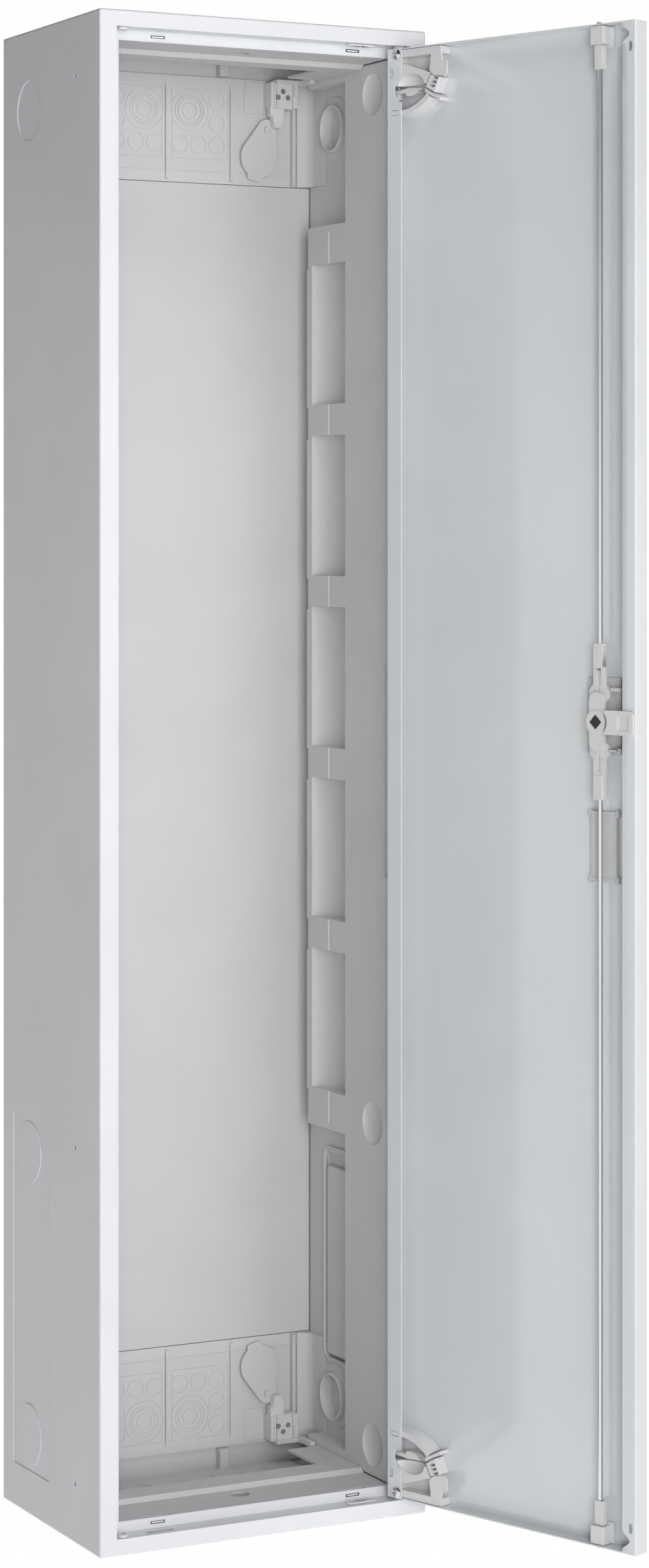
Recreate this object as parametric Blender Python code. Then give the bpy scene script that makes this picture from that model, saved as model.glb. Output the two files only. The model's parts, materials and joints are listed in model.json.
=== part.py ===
"""A wall-mounted sheet-steel distribution cabinet, one field wide, with its insulating lining and its door.

The door stands open on its right-hand hinges and carries a rod lock. The origin is the centre of the
back face, +X points right, +Y into the wall and +Z up. Every size is in millimetres, and the helpers
turn it into metres.
"""

import math

import bmesh
import bpy
from mathutils import Matrix, Vector

MM = 0.001
GAP = 0.3  # clearance between a piece and its neighbour

# Cabinet
WIDTH = 300.0
DEPTH = 205.0
HEIGHT = 1250.0
SHEET = 1.2
HALF_WIDTH = WIDTH / 2
HALF_HEIGHT = HEIGHT / 2
FRONT = -DEPTH
EDGE_RADIUS = 2.0
FLANGE_SIDE = 15.0  # front flange along the sides
FLANGE_END = 13.5  # front flange along the top and the bottom
RAIL_DEPTH = 19.0  # front face of the rail that the door closes against
RAIL_SHEET = 1.0
OPENING_X = HALF_WIDTH - FLANGE_SIDE
OPENING_Z = HALF_HEIGHT - FLANGE_END
CLEAR_X = 125.0  # half of the clear field inside
CLEAR_Z = 603.0
FIELD_PITCH = 62.5  # width of one bay of the rear inserts

# Door, in the frame of its hinge axis: +X towards the hinge edge, +Y inwards when it is closed
HINGE_X = 127.3
HINGE_DEPTH = 6.0
DOOR_WIDTH = 264.0
DOOR_THICKNESS = 14.8
DOOR_HALF_HEIGHT = 608.35
DOOR_SHEET = 1.0
DOOR_EDGE = 4.7  # from the hinge axis to the door's hinge edge
DOOR_FACE = -4.8  # the door's outer face
DOOR_OPEN = 110.0
HINGE_LIP = 16.0
FREE_LIP = 13.5
LIP_PLANE = DOOR_FACE + DOOR_THICKNESS
LIP_UNDER = LIP_PLANE - DOOR_SHEET
INNER_FACE = DOOR_FACE + DOOR_SHEET
GUARD_CENTRE = (12.0, 602.0)  # of a hinge bracket's guard: distance from the hinge edge, and height
GUARD_OUTER = 57.5
GUARD_INNER = 48.0

# Lock and rods
LOCK_A = 223.2  # from the door's hinge edge
LOCK_Z = 50.6
ROD_RADIUS = 2.0
ROD_Y = 3.1
PIN_RADIUS = 2.0
BORE = 0.3  # radial play of a pin or a rod in its hole

# Wall fixings
FIXING_X = 96.0
FIXING_Z = 537.0
FLAP_PIVOT_Z = 559.0

# Side knockouts and the screw dimples that join two cabinets
KNOCKOUT_RADIUS = 25.5
KNOCKOUT_Y = FRONT + 148.75
KNOCKOUT_Z = (557.5, -319.5, -557.5)
DIMPLE_Y = FRONT + 48.75
DIMPLE_Z = (576.25, -301.5, -576.25)

AXES = "XYZ"
TURNS = {
    "X": Matrix.Rotation(math.pi / 2, 4, "Y"),
    "Y": Matrix.Rotation(-math.pi / 2, 4, "X"),
    "Z": Matrix.Identity(4),
}


# ---------------------------------------------------------------- helpers


def new_collection(name):
    collection = bpy.data.collections.new(name)
    bpy.context.scene.collection.children.link(collection)
    return collection


def make_material(name, colour, roughness, metallic=0.0):
    material = bpy.data.materials.new(name)
    material.use_nodes = True
    material.diffuse_color = (*colour, 1.0)
    shader = material.node_tree.nodes["Principled BSDF"]
    shader.inputs["Base Color"].default_value = (*colour, 1.0)
    shader.inputs["Roughness"].default_value = roughness
    shader.inputs["Metallic"].default_value = metallic
    return material


def pair(side, first, second):
    """The stretch from first to second, mirrored when side is -1."""
    return tuple(sorted((side * first, side * second)))


def around(centre, half):
    return centre - half, centre + half


def behind(first, second):
    """A stretch measured back from the cabinet's front plane."""
    return FRONT + first, FRONT + second


def across(first, second):
    """A stretch of the door measured from its hinge edge."""
    return DOOR_EDGE - second, DOOR_EDGE - first


def add_block(bm, x, y, z):
    low = Vector((x[0], y[0], z[0])) * MM
    high = Vector((x[1], y[1], z[1])) * MM
    place = Matrix.Translation((low + high) / 2) @ Matrix.Diagonal((*(high - low), 1))
    return bmesh.ops.create_cube(bm, size=1, matrix=place)["verts"]


def add_cylinder(bm, axis, centre, radius, segments=24, end_radius=None):
    """A cylinder or cone. centre gives a (low, high) pair for the axis that it runs along."""
    index = AXES.index(axis)
    low, high = centre[index]
    middle = [value if i != index else (low + high) / 2 for i, value in enumerate(centre)]
    bmesh.ops.create_cone(
        bm,
        cap_ends=True,
        segments=segments,
        radius1=radius * MM,
        radius2=(radius if end_radius is None else end_radius) * MM,
        depth=(high - low) * MM,
        matrix=Matrix.Translation(Vector(middle) * MM) @ TURNS[axis],
    )


def add_prism(bm, axis, outline, span):
    """A flat outline, given by the other two axes in X, Y, Z order, pulled along an axis."""
    index = AXES.index(axis)
    corners = []
    for point in outline:
        place = list(point)
        place.insert(index, span[0])
        corners.append(bm.verts.new(Vector(place) * MM))
    face = bm.faces.new(corners)
    grown = bmesh.ops.extrude_face_region(bm, geom=[face])["geom"]
    shift = Vector((0, 0, 0))
    shift[index] = (span[1] - span[0]) * MM
    moved = [item for item in grown if isinstance(item, bmesh.types.BMVert)]
    bmesh.ops.translate(bm, verts=moved, vec=shift)


def add_turned(bm, axis, centre, profile, steps=24):
    """A closed profile of (radius, height) pairs, turned about an axis through centre."""
    index = AXES.index(axis)
    along = Vector((0, 0, 0))
    along[index] = MM
    out = Vector((0, 0, 0))
    out[(index + 1) % 3] = MM
    start = Vector(centre) * MM
    start[index] = 0
    ring = [bm.verts.new(start + out * radius + along * height) for radius, height in profile]
    edges = [bm.edges.new((ring[i - 1], ring[i])) for i in range(len(ring))]
    bmesh.ops.spin(
        bm,
        geom=ring + edges,
        cent=start,
        axis=along.normalized(),
        angle=2 * math.pi,
        steps=steps,
        use_merge=True,
    )
    bmesh.ops.remove_doubles(bm, verts=bm.verts[:], dist=1e-7)


def arc(centre, radius, start, end, count=8):
    """Points along an arc, with its angles in degrees."""
    points = []
    for i in range(count + 1):
        angle = math.radians(start + (end - start) * i / count)
        points.append((centre[0] + radius * math.cos(angle), centre[1] + radius * math.sin(angle)))
    return points


def stadium(centre, length, width, count=6):
    """The outline of a slot with round ends, lying along its first axis."""
    reach = (length - width) / 2
    right = arc((centre[0] + reach, centre[1]), width / 2, -90, 90, count)
    left = arc((centre[0] - reach, centre[1]), width / 2, 90, 270, count)
    return right + left


def swapped(outline):
    return [(second, first) for first, second in outline]


def on_door(outline, end):
    """An outline given as distance from the hinge edge and height, placed on the door."""
    return [(DOOR_EDGE - a, end * z) for a, z in outline]


def link_mesh(name, bm, collection, parent):
    bmesh.ops.recalc_face_normals(bm, faces=bm.faces[:])
    mesh = bpy.data.meshes.new(name)
    bm.to_mesh(mesh)
    bm.free()
    obj = bpy.data.objects.new(name, mesh)
    collection.objects.link(obj)
    obj.parent = parent
    return obj


def make_part(name, bm, material, parent=None, origin=(0, 0, 0)):
    """Makes a sub-part. A piece that moves is given its joint's axis as its origin."""
    bmesh.ops.translate(bm, verts=bm.verts[:], vec=-Vector(origin) * MM)
    obj = link_mesh(name, bm, parts, parent)
    obj.location = Vector(origin) * MM
    obj.data.materials.append(materials[material])
    return obj


def make_tool(name, bm, parent=None):
    """A helper solid that is cut from a sub-part or joined to it."""
    obj = link_mesh(name, bm, tools, parent)
    obj.hide_render = True
    obj.display_type = "WIRE"
    return obj


def combine(obj, tool, operation):
    modifier = obj.modifiers.new(tool.name, "BOOLEAN")
    modifier.operation = operation
    modifier.object = tool


def cut(obj, bm):
    combine(obj, make_tool(f"{obj.name}_cut", bm, obj.parent), "DIFFERENCE")


def join(obj, bm):
    combine(obj, make_tool(f"{obj.name}_join", bm, obj.parent), "UNION")


def block(x, y, z):
    bm = bmesh.new()
    add_block(bm, x, y, z)
    return bm


def cylinder(axis, centre, radius, segments=24, end_radius=None):
    bm = bmesh.new()
    add_cylinder(bm, axis, centre, radius, segments, end_radius)
    return bm


def prism(axis, outline, span):
    bm = bmesh.new()
    add_prism(bm, axis, outline, span)
    return bm


def turned(axis, centre, profile, steps=24):
    bm = bmesh.new()
    add_turned(bm, axis, centre, profile, steps)
    return bm


# ---------------------------------------------------------------- casing


def make_outer_casing():
    """Folded steel box with a front flange, and behind it the rebate that the door sits in."""
    bm = block((-HALF_WIDTH, HALF_WIDTH), (FRONT, 0), (-HALF_HEIGHT, HALF_HEIGHT))
    folds = [edge for edge in bm.edges if min(vert.co.y for vert in edge.verts) < FRONT * MM / 2]
    bmesh.ops.bevel(bm, geom=folds, offset=EDGE_RADIUS * MM, segments=2, profile=0.5, affect="EDGES")
    casing = make_part("outer_casing", bm, "painted_steel")
    inner_x = HALF_WIDTH - SHEET
    inner_z = HALF_HEIGHT - SHEET
    cut(casing, block((-inner_x, inner_x), (FRONT + SHEET, 1), (-inner_z, inner_z)))
    cut(casing, block((-OPENING_X, OPENING_X), behind(-1, 2), (-OPENING_Z, OPENING_Z)))

    fold_x = OPENING_X + SHEET
    fold_z = OPENING_Z + SHEET
    rebate = make_tool(
        "rebate",
        block((-fold_x, fold_x), behind(0.6, RAIL_DEPTH + RAIL_SHEET), (-fold_z, fold_z)),
    )
    cut(rebate, block((-OPENING_X, OPENING_X), behind(-1, RAIL_DEPTH), (-OPENING_Z, OPENING_Z)))
    cut(rebate, block((-CLEAR_X, CLEAR_X), behind(10, 30), (-CLEAR_Z, CLEAR_Z)))
    combine(casing, rebate, "UNION")

    cut(casing, rebate_openings())
    cut(casing, side_marks())
    cut(casing, cable_openings())


def rebate_openings():
    """Rod slots, clip slots and hinge holes at both ends, and the latch bolt's slots in the sides."""
    rod_slot = (12.5, 6.6, 11.6)
    clip_slot = (6.5, 1.2)
    clip_x = 90.0
    bolt_slot = (12.5, 15.9, 18.8)
    bm = bmesh.new()
    for end in (1, -1):
        for side in (1, -1):
            slot_x = side * (LOCK_A - DOOR_EDGE - HINGE_X + 1.8)
            ledge = pair(end, OPENING_Z - 1, OPENING_Z + 2)
            add_block(bm, around(slot_x, rod_slot[0]), behind(*rod_slot[1:]), ledge)
            add_block(
                bm,
                around(side * clip_x, clip_slot[0]),
                behind(RAIL_DEPTH - 1, RAIL_DEPTH + 2),
                around(end * (OPENING_Z - 4.3), clip_slot[1]),
            )
            add_cylinder(bm, "Z", (side * HINGE_X, FRONT + HINGE_DEPTH, ledge), 3.3, 16)
        reach = pair(-end, OPENING_X - 1, OPENING_X + 2)
        add_block(bm, reach, behind(*bolt_slot[1:]), around(end * LOCK_Z, bolt_slot[0]))
    return bm


def side_marks():
    """Sheared outlines of the round knockouts, and the screw holes for a neighbouring cabinet."""
    groove = (0.4, 0.5)
    screw_y = FRONT + 50.75
    bm = bmesh.new()
    for side in (1, -1):
        low, high = pair(side, HALF_WIDTH - groove[1], HALF_WIDTH + 1)
        inside, outside = KNOCKOUT_RADIUS - groove[0], KNOCKOUT_RADIUS
        for z in KNOCKOUT_Z:
            profile = ((inside, low), (outside, low), (outside, high), (inside, high))
            add_turned(bm, "X", (0, KNOCKOUT_Y, z), profile)
        for z in DIMPLE_Z:
            add_cylinder(bm, "X", (pair(side, 147, 152), screw_y, z), 2.3, 12)
    return bm


def cable_openings():
    """The openings in the top and the bottom that the flange plates close."""
    bm = bmesh.new()
    for end in (1, -1):
        add_block(bm, (-105, 105), behind(112, 190), pair(end, HALF_HEIGHT - 3, HALF_HEIGHT + 1))
    return bm


def make_back_panel():
    reach_x = HALF_WIDTH - SHEET - GAP
    reach_z = HALF_HEIGHT - SHEET - GAP
    panel = make_part(
        "back_panel",
        block((-reach_x, reach_x), (-SHEET, 0), (-reach_z, reach_z)),
        "painted_steel",
    )
    cut(panel, fixing_holes(4.5, (-3, 1)))


def fixing_holes(radius, span, ends=(1, -1)):
    bm = bmesh.new()
    for end in ends:
        for side in (1, -1):
            add_cylinder(bm, "Y", (side * FIXING_X, span, end * FIXING_Z), radius, 16)
    return bm


def make_hinge_bushings():
    """One in each corner of the rebate, so that the door can be hung on either side."""
    bore = PIN_RADIUS + BORE
    profile = (
        (bore, OPENING_Z - 2.6),
        (4.5, OPENING_Z - 2.6),
        (4.5, OPENING_Z - GAP),
        (3.0, OPENING_Z - GAP),
        (3.0, OPENING_Z + 4.5),
        (bore, OPENING_Z + 4.5),
    )
    for end, level in ((1, "upper"), (-1, "lower")):
        for side, hand in ((1, "right"), (-1, "left")):
            turned_profile = [(radius, end * height) for radius, height in profile]
            bm = turned("Z", (side * HINGE_X, FRONT + HINGE_DEPTH, 0), turned_profile, 16)
            make_part(f"hinge_bushing_{level}_{hand}", bm, "white_plastic")


def make_slot_plugs():
    """Rimmed plugs in the rod slots of the hinge side."""
    slot_x = LOCK_A - DOOR_EDGE - HINGE_X + 1.8
    centre = (slot_x, FRONT + 9.1)
    for end, level in ((1, "upper"), (-1, "lower")):
        rim = pair(end, OPENING_Z - 1.6, OPENING_Z - GAP)
        bm = prism("Z", stadium(centre, 28, 7.4), rim)
        plug = make_part(f"slot_plug_{level}", bm, "white_plastic")
        stem = pair(end, OPENING_Z - 1.0, OPENING_Z + 2.4)
        join(plug, prism("Z", stadium(centre, 24.2, 4.2), stem))
        cut(plug, prism("Z", stadium(centre, 23, 3.0), pair(end, OPENING_Z - 3, OPENING_Z - 0.9)))


# ---------------------------------------------------------------- lining

LINER_WALL = 2.0
LINER_BACK = 148.4
LINER_FRONT_Y = FRONT + RAIL_DEPTH + RAIL_SHEET + GAP
LINER_REAR_Y = FRONT + 172.5
LINER_HALF_HEIGHT = 602.0
RECESS_FLOOR = 141.0
RECESS_FRONT_Y = FRONT + 99.5
POCKET_REAR_Y = FRONT + 162.5
POCKET_HEIGHT = 123.0
POCKET_PITCH = 150.0
POCKET_TOP = 437.5
POCKET_COUNT = 5
POCKET_DEPTH = 14.0
UPPER_RECESS = (470.75, 593.0)
LOWER_RECESS = (-593.0, -318.75)
BOSS_Z = 557.5


def pocket_outline(grow):
    """Plan of a scooped pocket: it falls from its rear edge along a quarter ellipse to its floor."""
    centre_y = FRONT + 125
    reach = POCKET_REAR_Y - centre_y + grow
    depth = POCKET_DEPTH + grow
    points = []
    for i in range(9):
        angle = math.radians(90 * i / 8)
        points.append((CLEAR_X + depth * math.sin(angle), centre_y + reach * math.cos(angle)))
    front = RECESS_FRONT_Y - grow
    return points + [(CLEAR_X + depth, front), (CLEAR_X - 2, front), (CLEAR_X - 2, points[0][1])]


def pocket_tops():
    return [POCKET_TOP - POCKET_PITCH * i for i in range(POCKET_COUNT)]


def add_recesses(bm, side, grow):
    """The hollows of a side liner, grown by its wall for the side that faces the casing."""
    outline = [(side * x, y) for x, y in pocket_outline(grow)]
    for top in pocket_tops():
        add_prism(bm, "Z", outline, (top - POCKET_HEIGHT - grow, top + grow))
    floor = pair(side, CLEAR_X - 1, RECESS_FLOOR + grow)
    rear = LINER_REAR_Y + 2
    for low, high in (UPPER_RECESS, LOWER_RECESS):
        add_block(bm, floor, (RECESS_FRONT_Y - grow, rear), (low - grow, high + grow))
    ball = 27.9
    centre_x = CLEAR_X + 7 - ball
    for z in DIMPLE_Z:
        bmesh.ops.create_uvsphere(
            bm,
            u_segments=24,
            v_segments=16,
            radius=(ball + grow) * MM,
            matrix=Matrix.Translation(Vector((side * centre_x, DIMPLE_Y, z)) * MM) @ TURNS["X"],
        )


def liner_grooves(side):
    """Half-round grooves that run from pocket to pocket, and the notch for the latch bolt."""
    groove_y = FRONT + 128.5
    tops = pocket_tops()
    stretches = [(tops[0] - 1, UPPER_RECESS[0] - 5.75)]
    stretches += [(low - 1, high - POCKET_HEIGHT + 1) for low, high in zip(tops[1:], tops[:-1])]
    stretches.append((LOWER_RECESS[1] + 5.5, tops[-1] - POCKET_HEIGHT + 1))
    bm = bmesh.new()
    for stretch in stretches:
        add_cylinder(bm, "Z", (side * (CLEAR_X - 1.6), groove_y, stretch), 3.2, 12)
    add_block(bm, pair(side, CLEAR_X - 1, CLEAR_X + 1.2), behind(18, 29), (-90, 90))
    return bm


def make_side_liner(side, hand):
    """Moulded insulating side wall, 2 mm thick and open towards the casing."""
    half = LINER_HALF_HEIGHT
    bm = block(pair(side, CLEAR_X, LINER_BACK), (LINER_FRONT_Y, LINER_REAR_Y), (-half, half))
    liner = make_part(f"side_liner_{hand}", bm, "lining")
    join(liner, block(pair(side, RECESS_FLOOR, LINER_BACK), (LINER_REAR_Y - 4, -8), (-half, half)))

    hollow = make_tool(
        f"liner_hollow_{hand}",
        block(
            pair(side, CLEAR_X + LINER_WALL, LINER_BACK + 1),
            (LINER_FRONT_Y + LINER_WALL, LINER_REAR_Y - LINER_WALL),
            (LINER_WALL - half, half - LINER_WALL),
        ),
    )
    grown = bmesh.new()
    add_recesses(grown, side, LINER_WALL)
    cut(hollow, grown)
    combine(liner, hollow, "DIFFERENCE")
    rear_hollow = pair(side, RECESS_FLOOR + LINER_WALL, LINER_BACK + 1)
    cut(liner, block(rear_hollow, (LINER_REAR_Y - 6, -10), (LINER_WALL - half, half - LINER_WALL)))

    recesses = bmesh.new()
    add_recesses(recesses, side, 0)
    cut(liner, recesses)
    cut(liner, liner_grooves(side))

    cup = ((18.5, 138.5), (21.25, 138.5), (21.25, 145.9), (0, 145.9), (0, 144.4), (18.5, 144.4))
    holes = bmesh.new()
    cups = bmesh.new()
    for z in (BOSS_Z, -BOSS_Z):
        add_cylinder(holes, "X", (pair(side, 136, 146), KNOCKOUT_Y, z), 19.8)
        add_turned(cups, "X", (0, KNOCKOUT_Y, z), [(radius, side * x) for radius, x in cup])
    cut(liner, holes)
    join(liner, cups)

    panel_y = (FRONT + 112, FRONT + 160.6)
    panel_z = (-521.0, -355.5)
    join(liner, block(pair(side, 137.4, RECESS_FLOOR + 1.5), panel_y, panel_z))
    inset = LINER_WALL
    cut(
        liner,
        block(
            pair(side, 137.4 + inset, LINER_BACK + 1),
            (panel_y[0] + inset, panel_y[1] - inset),
            (panel_z[0] + inset, panel_z[1] - inset),
        ),
    )


def make_rear_plate():
    edge = RECESS_FLOOR - 0.7
    make_part("rear_plate", block((-edge, edge), (-6, -4), (-508.8, 508.8)), "lining")


def make_rear_insert(end, level):
    """Rear entry insert: a ribbed plate with cheeks that wrap the corners, and the flaps' pivots."""
    face = -7.8
    low, high = 509.4, 602.6
    span = pair(end, low, high)
    insert = make_part(f"rear_insert_{level}", block((-139, 139), (face, face + 2), span), "lining")
    ribs = bmesh.new()
    for x in (-FIELD_PITCH, 0, FIELD_PITCH):
        add_block(ribs, around(x, 1.5), (face - 2.5, face + 0.6), pair(end, low + 1, high - 3))
    for side in (1, -1):
        pivot = (side * (FIXING_X - 0.4), (face - 5.4, face + 0.6), end * FLAP_PIVOT_Z)
        add_cylinder(ribs, "Y", pivot, 2.6, 12)
    join(insert, ribs)
    cheeks = bmesh.new()
    for side in (1, -1):
        outline = [(128.5, face + 1), *arc((128.5, -22.5), 8.5, 90, 0, 6)]
        outline += [(137, -30), (139.5, -30), (139.5, face + 1)]
        outline = [(side * x, y) for x, y in outline]
        add_prism(cheeks, "Z", outline, pair(end, low + 0.2, high - 0.2))
    join(insert, cheeks)
    cut(insert, fixing_holes(6.5, (face - 2, face + 4), (end,)))


def make_wall_flap(end, side, level, hand):
    """Pear-shaped cover that swings aside from a wall-fixing hole."""
    pivot = (side * (FIXING_X - 0.4), -11.8, end * FLAP_PIVOT_Z)
    outline = arc((0, 0), 9, 25, 155, 8)
    outline += arc((0, -22), 26, 165, 255, 10)
    outline += [(-6.7, -50), (6.7, -50)]
    outline += arc((0, -22), 26, 285, 375, 10)
    outline = [(pivot[0] + x, pivot[2] + end * z) for x, z in outline]
    bm = prism("Y", outline, (-12.8, -10.7))
    flap = make_part(f"wall_flap_{level}_{hand}", bm, "lining", origin=pivot)
    hole = (pivot[0], (-14, -9), pivot[2])
    tool = make_tool(f"{flap.name}_bore", cylinder("Y", hole, 2.6 + BORE, 12))
    combine(flap, tool, "DIFFERENCE")


def make_corner_bracket(end, side, level, hand):
    """Stepped bracket in a rear corner, with three screw holes and a tongue towards the flap."""
    rear = -8.2
    bm = block(pair(side, 97, 124), (-40, rear), pair(end, 584, 602))
    bracket = make_part(f"corner_bracket_{level}_{hand}", bm, "white_plastic")
    join(bracket, block(pair(side, 99, 117), (-43.5, rear - 1), pair(end, 576, 600)))
    join(bracket, block(pair(side, 106.5, 115), (-24, rear - 1.5), pair(end, 560, 577)))
    join(bracket, block(pair(side, 95, 124.4), (-54.6, -30), pair(end, 596, 598.6)))
    holes = bmesh.new()
    for x, z in ((108, 594), (102.6, 588), (113.4, 588)):
        add_cylinder(holes, "Y", (side * x, (-45, -34), end * z), 2.5, 12)
    cut(bracket, holes)


def make_tray(end, level):
    """Plate behind the rail: a front step, a raised rear step, and two arms back to the brackets."""
    reach = CLEAR_X - 0.4
    front_y = LINER_FRONT_Y
    step_y = FRONT + 66.5
    rear_y = FRONT + 95.3
    lower = pair(end, CLEAR_Z, CLEAR_Z + 2)
    upper = pair(end, CLEAR_Z - 3.8, CLEAR_Z - 1.8)
    tray = make_part(f"tray_{level}", block((-reach, reach), (front_y, step_y + 2), lower), "lining")
    riser = pair(end, CLEAR_Z - 3.8, CLEAR_Z + 1)
    join(tray, block((-reach, reach), (step_y, step_y + 1.9), riser))
    join(tray, block((-reach, reach), (step_y + 1, rear_y), upper))
    arms = bmesh.new()
    for side in (1, -1):
        add_block(arms, pair(side, 95, reach), (rear_y - 1, FRONT + 150), upper)
    join(tray, arms)
    hooks = bmesh.new()
    for side in (1, -1):
        for x in (33, 66, 85):
            add_block(hooks, around(side * x, 1.5), (rear_y - 2, rear_y + 1.6), pair(end, 600, 606))
    join(tray, hooks)
    openings = cylinder("Z", (0, FRONT + 50.6, pair(end, 600, 607)), 8, 20)
    for side in (1, -1):
        add_block(openings, around(side * 90, 13), (front_y - 1, front_y + 3.5), pair(end, 600, 607))
        add_block(openings, around(side * 111, 10), behind(72, 73.6), pair(end, 598, 604))
    cut(tray, openings)


def make_flange_plate(end, level):
    """Removable cable-entry plate over the opening in the top or the bottom."""
    z = HALF_HEIGHT - SHEET - GAP
    bm = block((-118, 118), (FRONT + 102, -9.5), pair(end, z - 2.5, z))
    plate = make_part(f"flange_plate_{level}", bm, "lining")
    rims = bmesh.new()
    for x, radius in ((-88, 12), (-44, 18), (0, 12), (44, 18), (88, 12)):
        low, high = pair(end, z - 4.2, z - 2)
        profile = ((radius - 1.5, low), (radius, low), (radius, high), (radius - 1.5, high))
        add_turned(rims, "Z", (x, FRONT + 160, 0), profile, 20)
    join(plate, rims)


# ---------------------------------------------------------------- door


def make_door_axis():
    axis = bpy.data.objects.new("door_axis", None)
    parts.objects.link(axis)
    axis.location = Vector((HINGE_X, FRONT + HINGE_DEPTH, 0)) * MM
    axis.rotation_euler.z = math.radians(DOOR_OPEN)
    return axis


def make_door_leaf(axis):
    """Tray-shaped steel door with folded lips along both long edges."""
    bm = block(across(0, DOOR_WIDTH), (DOOR_FACE, LIP_PLANE), around(0, DOOR_HALF_HEIGHT))
    outer = [
        edge
        for edge in bm.edges
        if all(vert.co.y < 0 for vert in edge.verts)
        or abs(edge.verts[0].co.z - edge.verts[1].co.z) > 1
    ]
    bmesh.ops.bevel(bm, geom=outer, offset=1.2 * MM, segments=2, profile=0.5, affect="EDGES")
    leaf = make_part("door_leaf", bm, "painted_steel", axis)
    inside = around(0, DOOR_HALF_HEIGHT - DOOR_SHEET)
    wide = across(DOOR_SHEET, DOOR_WIDTH - DOOR_SHEET)
    cut(leaf, block(wide, (INNER_FACE, LIP_UNDER), inside))
    cut(leaf, block(across(HINGE_LIP, DOOR_WIDTH - FREE_LIP), (LIP_UNDER - 1, LIP_PLANE + 1), inside))
    cut(leaf, lip_openings())
    cut(leaf, leaf_openings())


def lip_openings():
    """Round notches at the hinge pins, oval holes, slots, screw holes, and the free lip's end notches."""
    through = (LIP_UNDER - 1, LIP_PLANE + 1)
    bm = bmesh.new()
    for end in (1, -1):
        add_cylinder(bm, "Y", (DOOR_EDGE - 19.2, through, end * 573.4), 10.8, 28)
        oval = swapped(stadium((end * 587.8, DOOR_EDGE - 4.6), 8, 4.6))
        add_prism(bm, "Y", oval, through)
        add_prism(bm, "Y", stadium((DOOR_EDGE - 8.6, end * 554.5), 10, 4.4), through)
        add_cylinder(bm, "Y", (DOOR_EDGE - 11.4, through, end * 603.2), PIN_RADIUS, 12)
        far = DOOR_EDGE - DOOR_WIDTH + FREE_LIP
        add_cylinder(bm, "Y", (far + 1.5, through, end * 598), 8.2, 20)
        oval = swapped(stadium((end * 587.6, DOOR_EDGE - 258.6), 8, 4))
        add_prism(bm, "Y", oval, through)
    return bm


def leaf_openings():
    """Holes in the top and bottom folds and, in the face, those for the lock and the grip."""
    lock_x = DOOR_EDGE - LOCK_A
    bm = cylinder("Y", (lock_x, (DOOR_FACE - 1, INNER_FACE + 1), LOCK_Z), 9.3)
    add_block(bm, around(lock_x, 13.3), (DOOR_FACE - 1, INNER_FACE + 1), (-75.3, -23.7))
    for end in (1, -1):
        fold = pair(end, DOOR_HALF_HEIGHT - 2, DOOR_HALF_HEIGHT + 1)
        add_cylinder(bm, "Z", (0, 0, fold), PIN_RADIUS + 0.4, 16)
        add_block(bm, around(lock_x, 3.9), around(ROD_Y, 2.6), fold)
    return bm


def make_hinge_bracket(axis, end, level):
    """Moulded carrier of a hinge pin: a beam, a hooked leg, a web with a scoop, and a curved guard."""
    low = INNER_FACE + GAP
    floor = low + 1.1

    def raised(outline, top, bottom=low + 0.5):
        return prism("Y", on_door(outline, end), (bottom, top))

    rim = arc(GUARD_CENTRE, GUARD_OUTER - 1, -90, -5, 12)
    plate = [(1.3, 607), (1.3, 545), (12, 545), *rim, (68, 607)]
    bracket = make_part(f"hinge_bracket_{level}", raised(plate, floor, low), "white_plastic", axis)
    guard = arc(GUARD_CENTRE, GUARD_OUTER, -90, -44, 8) + arc(GUARD_CENTRE, GUARD_INNER, -44, -90, 8)
    leg = [(48.3, 607), (48.3, 588), (46.8, 586), (47.5, 582.4), (50, 581.2), (61.6, 581.2), (64.2, 583)]
    leg += [(65.4, 592.2), (64.6, 593.6), (59.8, 593.6), (59.8, 607)]
    join(bracket, raised([(1.3, 607), (1.3, 600.6), (66, 600.6), (66, 607)], 8.6))
    join(bracket, raised([(1.3, 601), (11.7, 601), (44.6, 585.6), (39.5, 577), (1.3, 577)], 5.6))
    join(bracket, raised([(1.3, 544.5), *guard, (1.3, 554)], 4.6))
    join(bracket, raised(leg, 8.7))
    join(bracket, raised([(40.6, 576.3), (48.3, 572.5), (53.8, 581.8), (44.6, 585.5)], 5.2))
    join(bracket, raised([(48.3, 572.5), (59.3, 565.7), (65.3, 576.7), (53.8, 581.8)], 6.4))
    join(bracket, raised([(40.8, 573.2), (65.6, 557.2), (66.6, 558.6), (42, 574.8)], 7.4))
    join(bracket, raised([(33.4, 572.4), (41.4, 573), (41.4, 574.8), (33.4, 574)], 5.4))
    bores = cylinder("Z", (0, 0, pair(end, 540, 610)), PIN_RADIUS + BORE, 16)
    add_cylinder(bores, "Y", (DOOR_EDGE - 11.4, (1.5, 12), end * 603.2), PIN_RADIUS, 12)
    cut(bracket, bores)
    cut(bracket, scoop(end))
    cut(bracket, block(across(0.3, 10.5), (INNER_FACE, 2), pair(end, 556, 576.6)))
    join(bracket, raised(stadium((8.6, 554.5), 9.3, 3.7), LIP_PLANE - GAP, 3.2))


def scoop(end):
    """A hollow with the shape of an ellipsoid, cut into the web beside the pin."""
    place = Matrix.Translation(Vector((DOOR_EDGE - 20, 6.2, end * 577)) * MM)
    bm = bmesh.new()
    bmesh.ops.create_uvsphere(
        bm,
        u_segments=20,
        v_segments=12,
        radius=MM,
        matrix=place @ Matrix.Diagonal((17, 9, 9.8, 1)),
    )
    return bm


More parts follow.
